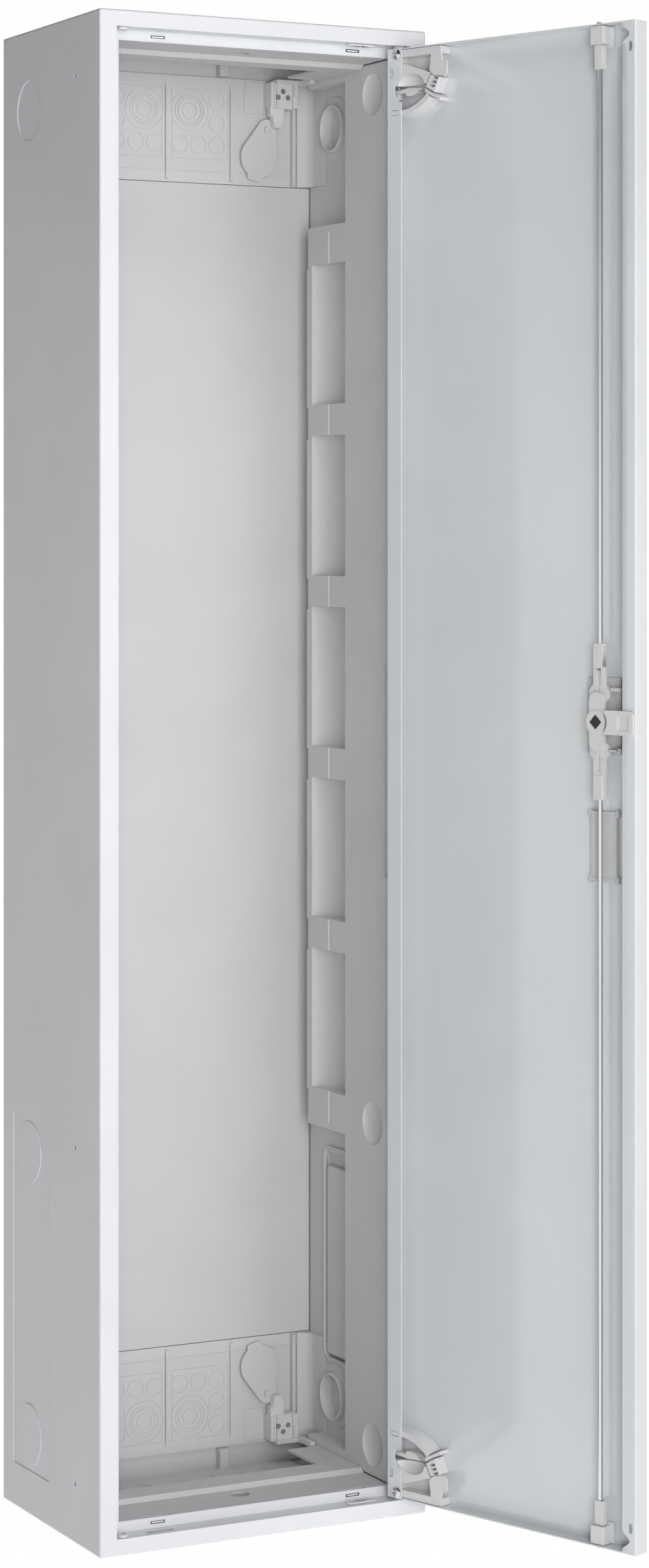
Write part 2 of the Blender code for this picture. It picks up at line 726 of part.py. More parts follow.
def make_hinge_pin(axis, end, level):
    bm = cylinder("Z", (0, 0, pair(end, 549, 616.8)), PIN_RADIUS, 16)
    make_part(f"hinge_pin_{level}", bm, "chrome", axis)


def make_release_lever(axis, end, level):
    """Collar on the pin with a finger, which draws the pin out of its bushing."""
    bm = cylinder("Z", (0, 0, pair(end, 566, 573)), 3.3, 20)
    lever = make_part(f"release_lever_{level}", bm, "white_plastic", axis)
    arm = [(4, 570.6), (13, 570.6), (32.6, 572.2), (32.6, 574), (12, 573.9), (4, 573.6)]
    finger = [(17.4, 568.6), (27.4, 567), (31.2, 569), (21, 573)]
    join(lever, prism("Y", on_door(arm, end), (1.4, 5.2)))
    join(lever, prism("Y", on_door(finger, end), (-1.5, 6.0)))
    cut(lever, cylinder("Z", (0, 0, pair(end, 560, 580)), PIN_RADIUS + BORE, 16))


def make_hinge_screw(axis, end, level):
    """Pan-head screw with a cross recess."""
    x, z = DOOR_EDGE - 11.4, end * 603.2
    low = LIP_PLANE + GAP
    profile = (
        (0, 2.2),
        (1.7, 2.2),
        (1.7, low),
        (4.4, low),
        (4.4, low + 0.7),
        (2.6, low + 2.1),
        (0, low + 2.1),
    )
    screw = make_part(f"hinge_screw_{level}", turned("Y", (x, 0, z), profile, 16), "chrome", axis)
    for half_x, half_z in ((2.3, 0.5), (0.5, 2.3)):
        cut(screw, block(around(x, half_x), (low + 0.9, low + 3), around(z, half_z)))


# ---------------------------------------------------------------- lock


def diamond(centre, side):
    reach = side / math.sqrt(2)
    x, z = centre
    return [(x + reach, z), (x, z + reach), (x - reach, z), (x, z - reach)]


def make_lock(axis):
    """Key-turned cam with its square insert, in a bush through the door, on a backing plate."""
    x = DOOR_EDGE - LOCK_A
    centre = (x, 0, LOCK_Z)
    place = (x, LOCK_Z)
    under = INNER_FACE + GAP

    plate = make_part(
        "lock_plate", block(around(x, 17), (under, under + 2), (26, 84)), "dark_plastic", axis
    )
    cut(plate, cylinder("Y", (x, (under - 2, under + 3), LOCK_Z), 9.3))
    ears = bmesh.new()
    for z in (28.4, 76.6):
        add_block(ears, (x - 22, x - 12), (under, 6.4), (z - 1.6, z + 1.6))
    join(plate, ears)
    make_part("guide_pin", cylinder("X", ((x - 21, x - 12.5), 7.9, 28.4), 1.2, 12), "chrome", axis)

    bush = (
        (6.3, DOOR_FACE - 1.2),
        (12.5, DOOR_FACE - 1.2),
        (13, DOOR_FACE - GAP),
        (9, DOOR_FACE - GAP),
        (9, under + 2.6),
        (6.3, under + 2.6),
    )
    make_part("lock_bush", turned("Y", centre, bush), "dark_plastic", axis)

    insert = make_part(
        "square_insert",
        cylinder("Y", (x, (DOOR_FACE - 1.0, 0.1), LOCK_Z), 6, 24),
        "black_metal",
        axis,
        origin=centre,
    )
    shank = make_tool("square_shank", prism("Y", diamond(place, 8), (-0.6, 10.3)), axis)
    combine(insert, shank, "UNION")
    key = bmesh.new()
    add_block(key, around(x, 2), (DOOR_FACE - 2, DOOR_FACE + 2.5), around(LOCK_Z, 4.2))
    combine(insert, make_tool("key_slot", key, axis), "DIFFERENCE")
    notch = prism("Y", [(x - 1, LOCK_Z), (x - 7, LOCK_Z + 3.4), (x - 7, LOCK_Z - 1)], (7.5, 12))
    combine(insert, make_tool("insert_notch", notch, axis), "DIFFERENCE")

    disc = cylinder("Y", (x, (5.9, LIP_PLANE), LOCK_Z), 9.6)
    cam = make_part("lock_cam", disc, "white_plastic", axis, origin=centre)
    lobes = prism("Y", swapped(stadium((LOCK_Z, x), 48, 15.2, 8)), (5.9, 8.2))
    combine(cam, make_tool("cam_lobes", lobes, axis), "UNION")
    hub = cylinder("Y", (x, (0.5, 6.5), LOCK_Z), 7.4)
    combine(cam, make_tool("cam_hub", hub, axis), "UNION")
    hole = prism("Y", diamond(place, 8 + 2 * GAP), (-1, 12))
    combine(cam, make_tool("cam_hole", hole, axis), "DIFFERENCE")


def make_latch_bolt(axis):
    """Flat bolt between the door's lip and the rail, with a hollowed inner end around the cam."""
    y = (LIP_PLANE + 0.4, LIP_PLANE + 2.6)
    tip = 263.3
    outline = arc((DOOR_EDGE - tip + 3, LOCK_Z + 7.3), 3, 90, 180, 4)
    outline += arc((DOOR_EDGE - tip + 3, LOCK_Z - 7.3), 3, 180, 270, 4)
    outline += [(DOOR_EDGE - 237, LOCK_Z - 10.3)]
    outline += arc((DOOR_EDGE - LOCK_A, LOCK_Z), 13.4, 220, 140, 8)
    outline += [(DOOR_EDGE - 237, LOCK_Z + 10.3)]
    bolt = make_part("latch_bolt", prism("Y", outline, y), "white_plastic", axis)
    cut(bolt, block(across(238, 245), (y[1] - 0.8, y[1] + 1), around(LOCK_Z, 8)))


def make_rod_set(axis, end, level):
    """Link, rod and bolt end of one half of the rod lock, and the guide that it runs in."""
    x = DOOR_EDGE - LOCK_A

    def span(low, high):
        """A stretch measured from the lock's centre towards this end."""
        return tuple(sorted((LOCK_Z + end * low, LOCK_Z + end * high)))

    coupler = block(around(x, 5.9), (0.35, 5.6), span(42.8, 62.8))
    link = make_part(f"rod_link_{level}", coupler, "white_plastic", axis)
    join(link, block(around(x, 6), (2.2, 5.4), span(14, 44)))
    cut(link, block(around(x + 1, 1.3), (4.4, 7), span(25, 40)))
    cut(link, cylinder("Z", (x, ROD_Y, span(47.5, 66)), ROD_RADIUS + BORE, 12))

    inner = LOCK_Z + end * 48
    outer = end * 583.0
    bm = cylinder("Z", (x, ROD_Y, tuple(sorted((inner, outer)))), ROD_RADIUS, 16)
    make_part(f"lock_rod_{level}", bm, "chrome", axis)

    body = block(around(x, 4), around(ROD_Y, 2.75), pair(end, 572.6, 592))
    tip = make_part(f"rod_end_{level}", body, "white_plastic", axis)
    join(tip, block(around(x, 3.4), around(ROD_Y, 2.2), pair(end, 591, 605.5)))
    wedge = [(x + 2.5, end * 604), (x + 2.5, end * 610.8), (x + 0.5, end * 610.8), (x - 2.5, end * 607)]
    wedge.append((x - 2.5, end * 604))
    join(tip, prism("Y", wedge, around(ROD_Y, 2)))
    bore = cylinder("Z", (x, ROD_Y, pair(end, 570, 583.4)), ROD_RADIUS + BORE, 12)
    cut(tip, bore)

    guide = make_part(
        f"rod_guide_{level}",
        block(around(x, 6.5), (INNER_FACE + GAP, 7.7), pair(end, 592.4, 607)),
        "white_plastic",
        axis,
    )
    cut(guide, block(around(x, 4.4), around(ROD_Y, 3.2), pair(end, 590, 609)))


def make_grip_dish(axis):
    """Shallow finger pull set into the door's face, held by a clip at each end."""
    x = DOOR_EDGE - LOCK_A
    rim = (DOOR_FACE - 1.1, DOOR_FACE - GAP)
    dish = make_part("grip_dish", block(around(x, 15.5), rim, (-78, -21)), "dark_plastic", axis)
    join(dish, block(around(x, 13), (DOOR_FACE - 0.8, -0.5), (-75, -24)))
    clips = bmesh.new()
    for z in (-76.2, -22.8):
        add_block(clips, around(x, 11), (INNER_FACE + GAP, 0.0), around(z, 1.5))
    join(dish, clips)
    cut(dish, block(around(x, 11.8), (DOOR_FACE - 3, -1.7), (-73.8, -25.2)))


# ---------------------------------------------------------------- assembly

for old in list(bpy.data.objects):
    bpy.data.objects.remove(old)
parts = new_collection("distribution_cabinet")
tools = new_collection("cutters")
materials = {
    "painted_steel": make_material("painted_steel", (0.80, 0.82, 0.83), 0.35),
    "lining": make_material("lining", (0.62, 0.62, 0.63), 0.5),
    "white_plastic": make_material("white_plastic", (0.72, 0.72, 0.73), 0.45),
    "dark_plastic": make_material("dark_plastic", (0.42, 0.43, 0.44), 0.45),
    "black_metal": make_material("black_metal", (0.02, 0.02, 0.02), 0.4),
    "chrome": make_material("chrome", (0.8, 0.8, 0.82), 0.15, 1.0),
}

make_outer_casing()
make_back_panel()
make_hinge_bushings()
make_slot_plugs()
make_rear_plate()
for hand_side, hand_name in ((1, "right"), (-1, "left")):
    make_side_liner(hand_side, hand_name)
for end_side, end_name in ((1, "upper"), (-1, "lower")):
    make_rear_insert(end_side, end_name)
    make_tray(end_side, end_name)
    make_flange_plate(end_side, end_name)
    for hand_side, hand_name in ((1, "right"), (-1, "left")):
        make_wall_flap(end_side, hand_side, end_name, hand_name)
        make_corner_bracket(end_side, hand_side, end_name, hand_name)

door_axis = make_door_axis()
make_door_leaf(door_axis)
make_lock(door_axis)
make_latch_bolt(door_axis)
make_grip_dish(door_axis)
for end_side, end_name in ((1, "upper"), (-1, "lower")):
    make_hinge_bracket(door_axis, end_side, end_name)
    make_hinge_pin(door_axis, end_side, end_name)
    make_release_lever(door_axis, end_side, end_name)
    make_hinge_screw(door_axis, end_side, end_name)
    make_rod_set(door_axis, end_side, end_name)

for piece in parts.objects:
    if piece.type == "MESH":
        piece.data.shade_smooth()
        piece.data.set_sharp_from_angle(angle=math.radians(30))
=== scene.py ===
"""Looks of a wall-mounted sheet-steel distribution cabinet: its lining, its open door and its rod lock.

Sizes are in millimetres in the frame's own axes. The origin is the centre of the back face, +X points
right, +Y into the wall and +Z up. The door's pieces are made in the frame of the hinge axis, as on a
closed door, with +X towards the hinge edge and +Y inwards, and are then swung open.
"""

import json
import math

import bmesh
import bpy
from mathutils import Matrix, Vector


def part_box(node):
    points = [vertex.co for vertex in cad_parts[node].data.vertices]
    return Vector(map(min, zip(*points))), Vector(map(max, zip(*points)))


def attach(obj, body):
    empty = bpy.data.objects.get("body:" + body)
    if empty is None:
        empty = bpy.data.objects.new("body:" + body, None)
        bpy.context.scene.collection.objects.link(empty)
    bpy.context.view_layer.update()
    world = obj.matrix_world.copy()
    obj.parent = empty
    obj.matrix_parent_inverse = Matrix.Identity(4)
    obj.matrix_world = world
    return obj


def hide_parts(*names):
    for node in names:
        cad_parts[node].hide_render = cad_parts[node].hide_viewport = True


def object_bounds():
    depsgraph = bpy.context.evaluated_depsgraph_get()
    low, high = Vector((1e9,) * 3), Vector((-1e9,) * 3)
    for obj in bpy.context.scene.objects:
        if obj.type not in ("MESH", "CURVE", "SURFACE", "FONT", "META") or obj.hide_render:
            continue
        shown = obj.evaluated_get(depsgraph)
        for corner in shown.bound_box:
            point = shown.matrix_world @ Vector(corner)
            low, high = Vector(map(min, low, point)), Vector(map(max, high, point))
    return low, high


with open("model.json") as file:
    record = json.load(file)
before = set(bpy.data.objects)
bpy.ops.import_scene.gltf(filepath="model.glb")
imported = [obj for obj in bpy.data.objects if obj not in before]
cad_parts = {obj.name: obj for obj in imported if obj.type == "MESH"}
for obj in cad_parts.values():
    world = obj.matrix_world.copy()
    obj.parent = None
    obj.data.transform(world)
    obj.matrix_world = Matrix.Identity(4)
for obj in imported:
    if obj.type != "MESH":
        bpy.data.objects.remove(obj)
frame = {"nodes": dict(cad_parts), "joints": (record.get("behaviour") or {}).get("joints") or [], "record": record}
cad_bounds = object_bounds()

MM = 0.001
GAP = 0.3  # between neighbouring pieces
RECORD = frame["record"]
BODY_OF = {node: body for body, nodes in RECORD["behaviour"]["bodies"].items() for node in nodes}
SLOT_OF = {part["node"]: part["material_slot"] for part in RECORD["subparts"]}
JOINTS = {joint["name"]: joint for joint in frame["joints"]}

# Cabinet
CASING_LOW, CASING_HIGH = (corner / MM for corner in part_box("outer_casing"))
HALF_WIDTH = CASING_HIGH.x
HALF_HEIGHT = CASING_HIGH.z
FRONT = CASING_LOW.y
SHEET = 1.2
FOLD_RADIUS = 2.0
RAIL_DEPTH = 19.0
RAIL_SHEET = 1.0
OPENING_X = HALF_WIDTH - 15.0
OPENING_Z = HALF_HEIGHT - 13.5
CLEAR_X = 125.0
CLEAR_Z = 603.0
FIELD_PITCH = 62.5

# Door, in the frame of its hinge axis: Y rises from the outer face to the plane of the folded lips
HINGE = Vector(JOINTS["door_hinge"]["pos_m"]) / MM
HINGE_X = HINGE.x
HINGE_DEPTH = HINGE.y - FRONT
DOOR_OPEN = -JOINTS["door_hinge"]["range_deg"][0]
DOOR = Matrix.Translation(HINGE * MM) @ Matrix.Rotation(math.radians(DOOR_OPEN), 4, "Z")
DOOR_WIDTH = 264.0
DOOR_HALF_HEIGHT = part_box("door_leaf")[1].z / MM
DOOR_SHEET = 1.0
DOOR_EDGE = 4.7
DOOR_FACE = -4.8
LIP_PLANE = 10.0
LIP_UNDER = LIP_PLANE - DOOR_SHEET
INNER_FACE = DOOR_FACE + DOOR_SHEET
HINGE_LIP = 16.0
FREE_LIP = 13.5

# Lock and rods, whose parts sit on the door's inner face
LOCK_A = 223.2
LOCK_X = DOOR_EDGE - LOCK_A
LOCK_Z = 50.6
ROD_RADIUS = 2.0
ROD_Y = 3.1
ON_LEAF = INNER_FACE + GAP
LOCK_HOLE = 9.3

# Hinges: A is the distance from the door's hinge edge
PIN_RADIUS = 2.0
BORE = 0.3
SCREW_A = 11.4
SCREW_Z = 603.2
HINGE_SLOT_A = 8.6
HINGE_SLOT_Z = 554.5
GUARD_CENTRE = (12.0, 602.0)
GUARD_INNER = 46.0
GUARD_OUTER = 50.3
GUARD_FOOT = 52.8

# Rails at the top and bottom of the opening
CLIP_X = 90.0
CLIP_Z = OPENING_Z - 4.3
ROD_SLOT_X = LOCK_A - DOOR_EDGE - HINGE_X + 1.8
ROD_SLOT_Y = FRONT + 9.1

# Lining, whose side walls' pockets and rear inserts' bays repeat at an even pitch
LINER_BACK = 148.4
LINER_FRONT_Y = FRONT + RAIL_DEPTH + RAIL_SHEET + GAP
LINER_REAR_Y = FRONT + 170.0
LINER_HALF_HEIGHT = 602.0
RECESS_FLOOR = 141.0
RECESS_FRONT_Y = FRONT + 99.5
POCKET_REAR_Y = FRONT + 162.5
POCKET_HEIGHT = 123.0
POCKET_PITCH = 150.0
POCKET_TOPS = [437.5 - POCKET_PITCH * i for i in range(5)]
POCKET_DEPTH = 14.0
UPPER_RECESS = (470.75, 593.0)
LOWER_RECESS = (-593.0, -318.75)
PANEL_Y = (FRONT + 112.0, FRONT + 160.6)
PANEL_Z = (-521.0, -355.5)
FIXING_X = 96.0
FIXING_Z = 537.0
FLAP_PIVOT_X = FIXING_X - 0.4
FLAP_PIVOT_Z = 559.0
FLAP_TILT = math.radians(16)
INSERT_FACE = -7.8
KNOCKOUT_RADIUS = 25.5
KNOCKOUT_Y = FRONT + 148.75
BOSS_Z = 557.5
KNOCKOUT_Z = (BOSS_Z, -319.5, -BOSS_Z)
DIMPLE_Y = FRONT + 48.75
DIMPLE_Z = (576.25, -301.5, -576.25)

# Finishes, and the studio, whose reflections are dim towards one side
SPREAD = 0.025
WHITE = (1, 1, 1, 1)
DIM_SIDE = (0.82, 0.57, 0)

ENDS = ((1, "upper"), (-1, "lower"))
SIDES = ((1, "right"), (-1, "left"))
AXES = "XYZ"
TURNS = {
    "X": Matrix.Rotation(math.pi / 2, 4, "Y"),
    "Y": Matrix.Rotation(-math.pi / 2, 4, "X"),
    "Z": Matrix.Identity(4),
}


# ---- stretches and outlines


def pair(side, first, second):
    """The stretch from first to second, mirrored when side is -1."""
    return tuple(sorted((side * first, side * second)))


def around(centre, half):
    return centre - half, centre + half


def behind(first, second):
    """A stretch measured back from the cabinet's front plane."""
    return FRONT + first, FRONT + second


def inset(span, distance):
    """A stretch shortened by a distance at both ends."""
    return span[0] + distance, span[1] - distance


def across(first, second):
    """A stretch of the door measured from its hinge edge."""
    return DOOR_EDGE - second, DOOR_EDGE - first


def arc(centre, radius, start, end, count=12):
    """Points along an arc, with its angles in degrees."""
    points = []
    for i in range(count + 1):
        angle = math.radians(start + (end - start) * i / count)
        points.append((centre[0] + radius * math.cos(angle), centre[1] + radius * math.sin(angle)))
    return points


def stadium(centre, length, width):
    """The outline of a slot with round ends, lying along its first axis."""
    reach = (length - width) / 2
    right = arc((centre[0] + reach, centre[1]), width / 2, -90, 90)
    left = arc((centre[0] - reach, centre[1]), width / 2, 90, 270)
    return right + left


def rounded(first, second, radius, count=6):
    """The outline of a rectangle with round corners, from its two stretches."""
    outline = []
    corners = ((first[1], second[1]), (first[0], second[1]), (first[0], second[0]), (first[1], second[0]))
    middle = (sum(first) / 2, sum(second) / 2)
    for i, corner in enumerate(corners):
        centre = [value - math.copysign(radius, value - centre) for value, centre in zip(corner, middle)]
        outline += arc(centre, radius, 90 * i, 90 * i + 90, count)
    return outline


def swapped(outline):
    return [(second, first) for first, second in outline]


def flipped(outline, end):
    """An outline whose second numbers are turned over at the lower end."""
    return [(first, end * second) for first, second in outline]


def on_door(outline, end):
    """An outline given as distance from the hinge edge and height, placed on the door."""
    return [(DOOR_EDGE - a, end * z) for a, z in outline]


# ---- solids


def face_outwards(bm, known):
    """Turns the faces outwards that were added since known was taken."""
    bmesh.ops.recalc_face_normals(bm, faces=[face for face in bm.faces if face not in known])


def add_block(bm, x, y, z):
    low = Vector((x[0], y[0], z[0])) * MM
    high = Vector((x[1], y[1], z[1])) * MM
    place = Matrix.Translation((low + high) / 2) @ Matrix.Diagonal((*(high - low), 1))
    bmesh.ops.create_cube(bm, size=1, matrix=place)


def add_cylinder(bm, axis, centre, radius, segments=48):
    """centre gives a (low, high) pair for the axis that the cylinder runs along."""
    index = AXES.index(axis)
    low, high = centre[index]
    middle = [value if i != index else (low + high) / 2 for i, value in enumerate(centre)]
    bmesh.ops.create_cone(
        bm,
        cap_ends=True,
        segments=segments,
        radius1=radius * MM,
        radius2=radius * MM,
        depth=(high - low) * MM,
        matrix=Matrix.Translation(Vector(middle) * MM) @ TURNS[axis],
    )


def add_prism(bm, axis, outline, span):
    """A flat outline, given by the other two axes in X, Y, Z order, pulled along an axis."""
    known = set(bm.faces)
    index = AXES.index(axis)
    corners = []
    for point in outline:
        place = list(point)
        place.insert(index, span[0])
        corners.append(bm.verts.new(Vector(place) * MM))
    face = bm.faces.new(corners)
    grown = bmesh.ops.extrude_face_region(bm, geom=[face])["geom"]
    shift = Vector((0, 0, 0))
    shift[index] = (span[1] - span[0]) * MM
    moved = [item for item in grown if isinstance(item, bmesh.types.BMVert)]
    bmesh.ops.translate(bm, verts=moved, vec=shift)
    face_outwards(bm, known)


def add_turned(bm, axis, centre, profile, steps=48):
    """A closed profile of (radius, height) pairs, turned about an axis through centre."""
    known = set(bm.faces)
    index = AXES.index(axis)
    along = Vector((0, 0, 0))
    along[index] = MM
    out = Vector((0, 0, 0))
    out[(index + 1) % 3] = MM
    start = Vector(centre) * MM
    start[index] = 0
    ring = [bm.verts.new(start + out * radius + along * height) for radius, height in profile]
    edges = [bm.edges.new((ring[i - 1], ring[i])) for i in range(len(ring))]
    bmesh.ops.spin(
        bm,
        geom=ring + edges,
        cent=start,
        axis=along.normalized(),
        angle=2 * math.pi,
        steps=steps,
        use_merge=True,
    )
    bmesh.ops.remove_doubles(bm, verts=bm.verts[:], dist=1e-7)
    face_outwards(bm, known)


def add_ring(bm, axis, centre, inside, outside, span, steps=48):
    """A flat ring between two radii."""
    low, high = span
    add_turned(bm, axis, centre, ((inside, low), (outside, low), (outside, high), (inside, high)), steps)


def add_ball(bm, centre, radii, segments=48):
    place = Matrix.Translation(Vector(centre) * MM) @ Matrix.Diagonal((*(Vector(radii) * MM), 1))
    bmesh.ops.create_uvsphere(bm, u_segments=segments, v_segments=segments // 2, radius=1, matrix=place)


def solid(add, *sizes, **options):
    """A new mesh that holds the one shape made by an add function."""
    bm = bmesh.new()
    add(bm, *sizes, **options)
    return bm


def block(x, y, z):
    return solid(add_block, x, y, z)


def prism(axis, outline, span):
    return solid(add_prism, axis, outline, span)


def cylinder(axis, centre, radius, segments=48):
    return solid(add_cylinder, axis, centre, radius, segments)


def new_object(name, data):
    obj = bpy.data.objects.new(name, data)
    bpy.context.scene.collection.objects.link(obj)
    return obj


def mesh_object(name, bm):
    """A new object in the scene that holds a mesh, which is used up."""
    mesh = bpy.data.meshes.new(name)
    bm.to_mesh(mesh)
    bm.free()
    return new_object(name, mesh)


def boolean(bm, tool, operation):
    """The solid that a Boolean makes of two solids, which are used up."""
    base, other = mesh_object("helper", bm), mesh_object("helper", tool)
    modifier = base.modifiers.new("boolean", "BOOLEAN")
    modifier.operation = operation
    modifier.object = other
    result = bmesh.new()
    result.from_object(base, bpy.context.evaluated_depsgraph_get())
    for obj in (base, other):
        mesh = obj.data
        bpy.data.objects.remove(obj)
        bpy.data.meshes.remove(mesh)
    return result


def cut(bm, *tools):
    for tool in tools:
        bm = boolean(bm, tool, "DIFFERENCE")
    return bm


def join(bm, *tools):
    for tool in tools:
        bm = boolean(bm, tool, "UNION")
    return bm


def append(bm, other):
    """Adds another mesh's solids to a mesh; the other one is used up."""
    mesh = bpy.data.meshes.new("helper")
    other.to_mesh(mesh)
    other.free()
    bm.from_mesh(mesh)
    bpy.data.meshes.remove(mesh)


def bevel(bm, edges, width, segments, clamp=False):
    options = {"profile": 0.5, "affect": "EDGES", "clamp_overlap": clamp}
    bmesh.ops.bevel(bm, geom=edges, offset=width * MM, segments=segments, **options)


def soften(bm, width, segments=2, least=35.0):
    """Rounds every edge that is sharper than the least angle."""
    bmesh.ops.remove_doubles(bm, verts=bm.verts[:], dist=2e-6)
    bmesh.ops.dissolve_degenerate(bm, edges=bm.edges[:], dist=2e-6)
    limit = math.radians(least)
    sharp = [edge for edge in bm.edges if edge.is_manifold and edge.calc_face_angle(0) > limit]
    bevel(bm, sharp, width, segments, clamp=True)
    return bm


# ---- pieces


def add_piece(name, bm, body, slot):
    """Makes a visible piece, with the finish of a record slot, that rides on a body.

    The cabinet and its flaps stay put. Everything else belongs to the door and is swung open with it.
    """
    if not body.startswith(("cabinet", "flap")):
        bm.transform(DOOR)
    piece = mesh_object(name, bm)
    piece.data.materials.append(LOOKS[slot])
    piece.data.shade_smooth()
    piece.data.set_sharp_from_angle(angle=math.radians(40))
    normals = piece.modifiers.new("normals", "WEIGHTED_NORMAL")
    normals.keep_sharp = True
    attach(piece, body)
    return piece


def refine(node, bm):
    """Makes the piece that stands for a CAD node, on the node's body and with its finish."""
    piece = add_piece(f"{node}_shape", bm, BODY_OF[node], SLOT_OF[node])
    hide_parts(node)


# ---- materials


def set_inputs(node, values):
    for name, value in values.items():
        node.inputs[name].default_value = value


def add_noise(tree, coordinates, scale, detail=2.0):
    noise = tree.nodes.new("ShaderNodeTexNoise")
    set_inputs(noise, {"Scale": scale, "Detail": detail})
    tree.links.new(coordinates, noise.inputs["Vector"])
    return noise.outputs["Fac"]


def add_range(tree, source, low, high, start=0.3, end=0.7):
    """Turns values from start to end, which suit a noise texture, into values from low to high."""
    node = tree.nodes.new("ShaderNodeMapRange")
    set_inputs(node, {"From Min": start, "From Max": end, "To Min": low, "To Max": high})
    tree.links.new(source, node.inputs["Value"])
    return node.outputs["Result"]


def add_blend(tree, factor, first, second):
    mix = tree.nodes.new("ShaderNodeMix")
    mix.data_type = "RGBA"
    mix.inputs["A"].default_value = (*first, 1)
    mix.inputs["B"].default_value = (*second, 1)
    tree.links.new(factor, mix.inputs["Factor"])
    return mix.outputs["Result"]


def make_look(name, colour, roughness, grain, metallic=0.0, ior=1.5, stretch=(1, 1, 1)):
    """A finish with slight unevenness of colour and gloss, and with a fine surface grain.

    grain is (size in mm, height in mm) of the surface's texture.
    """
    material = bpy.data.materials.new(name)
    material.use_nodes = True
    tree = material.node_tree
    shader = tree.nodes["Principled BSDF"]
    set_inputs(shader, {"Metallic": metallic, "IOR": ior})
    coordinates = tree.nodes.new("ShaderNodeTexCoord").outputs["Object"]
    scaled = tree.nodes.new("ShaderNodeMapping")
    set_inputs(scaled, {"Scale": stretch})
    tree.links.new(coordinates, scaled.inputs["Vector"])

    clouds = add_range(tree, add_noise(tree, coordinates, 9), 0, 1)
    darker = [value * (1 - SPREAD) for value in colour]
    lighter = [min(1, value * (1 + SPREAD)) for value in colour]
    tree.links.new(add_blend(tree, clouds, darker, lighter), shader.inputs["Base Color"])
    patches = add_noise(tree, coordinates, 60, 4)
    gloss = add_range(tree, patches, roughness * 0.88, roughness * 1.12)
    tree.links.new(gloss, shader.inputs["Roughness"])

    size, height = grain
    bump = tree.nodes.new("ShaderNodeBump")
    set_inputs(bump, {"Strength": 1.0, "Distance": height * MM})
    texture = add_noise(tree, scaled.outputs["Vector"], 1 / (size * MM), 3)
    tree.links.new(texture, bump.inputs["Height"])
    tree.links.new(bump.outputs["Normal"], shader.inputs["Normal"])
    return material


def make_looks():
    """One finish for each material slot of the record."""
    return {
        "casing_paint": make_look("casing_paint", (0.735, 0.745, 0.768), 0.33, (1.2, 0.004)),
        "door_paint": make_look("door_paint", (0.705, 0.73, 0.745), 0.09, (2.0, 0.0005), ior=1.9),
        "lining": make_look("lining", (0.61, 0.61, 0.62), 0.5, (0.6, 0.01)),
        "white_plastic": make_look("white_plastic", (0.70, 0.70, 0.71), 0.38, (0.5, 0.006)),
        "dark_plastic": make_look("dark_plastic", (0.60, 0.605, 0.615), 0.42, (0.5, 0.008)),
        "black_metal": make_look("black_metal", (0.015, 0.015, 0.016), 0.35, (0.4, 0.01)),
        "chrome": make_look(
            "chrome", (0.76, 0.76, 0.77), 0.1, (0.3, 0.002), metallic=1.0, stretch=(1, 1, 0.02)
        ),
    }


# ---- casing


def make_outer_casing():
    """Folded steel box with a front flange, and behind it the rebate that the door sits in."""
    bm = block((-HALF_WIDTH, HALF_WIDTH), (FRONT, 0), (-HALF_HEIGHT, HALF_HEIGHT))
    folds = [edge for edge in bm.edges if min(vert.co.y for vert in edge.verts) < FRONT * MM / 2]
    bevel(bm, folds, FOLD_RADIUS, 5)
    inner_x = HALF_WIDTH - SHEET
    inner_z = HALF_HEIGHT - SHEET
    bm = cut(
        bm,
        block((-inner_x, inner_x), (FRONT + SHEET, 1), (-inner_z, inner_z)),
        block((-OPENING_X, OPENING_X), behind(-1, 2), (-OPENING_Z, OPENING_Z)),
    )
    fold_x = OPENING_X + SHEET
    fold_z = OPENING_Z + SHEET
    rebate = cut(
        block((-fold_x, fold_x), behind(0.6, RAIL_DEPTH + RAIL_SHEET), (-fold_z, fold_z)),
        block((-OPENING_X, OPENING_X), behind(-1, RAIL_DEPTH), (-OPENING_Z, OPENING_Z)),
        block((-CLEAR_X, CLEAR_X), behind(10, 30), (-CLEAR_Z, CLEAR_Z)),
    )
    bm = soften(join(bm, rebate), 0.45)
    bm = cut(bm, rebate_openings(), cable_openings(), *side_marks())
    refine("outer_casing", bm)


def rebate_openings():
    """Rod slots, clip slots and hinge holes at both ends, and the latch bolt's slots in the sides."""
    bm = bmesh.new()
    for end in (1, -1):
        ledge = pair(end, OPENING_Z - 1, OPENING_Z + 2)
        for side in (1, -1):
            add_prism(bm, "Z", stadium((side * ROD_SLOT_X, ROD_SLOT_Y), 25, 5), ledge)
            clip = rounded(around(side * CLIP_X, 6.5), around(end * CLIP_Z, 1.3), 0.4, 3)
            add_prism(bm, "Y", clip, behind(RAIL_DEPTH - 1, RAIL_DEPTH + 2))
            add_cylinder(bm, "Z", (side * HINGE_X, FRONT + HINGE_DEPTH, ledge), 3.3)
        reach = pair(-end, OPENING_X - 1, OPENING_X + 2)
        add_block(bm, reach, behind(15.9, 18.8), around(end * LOCK_Z, 12.5))
    return bm


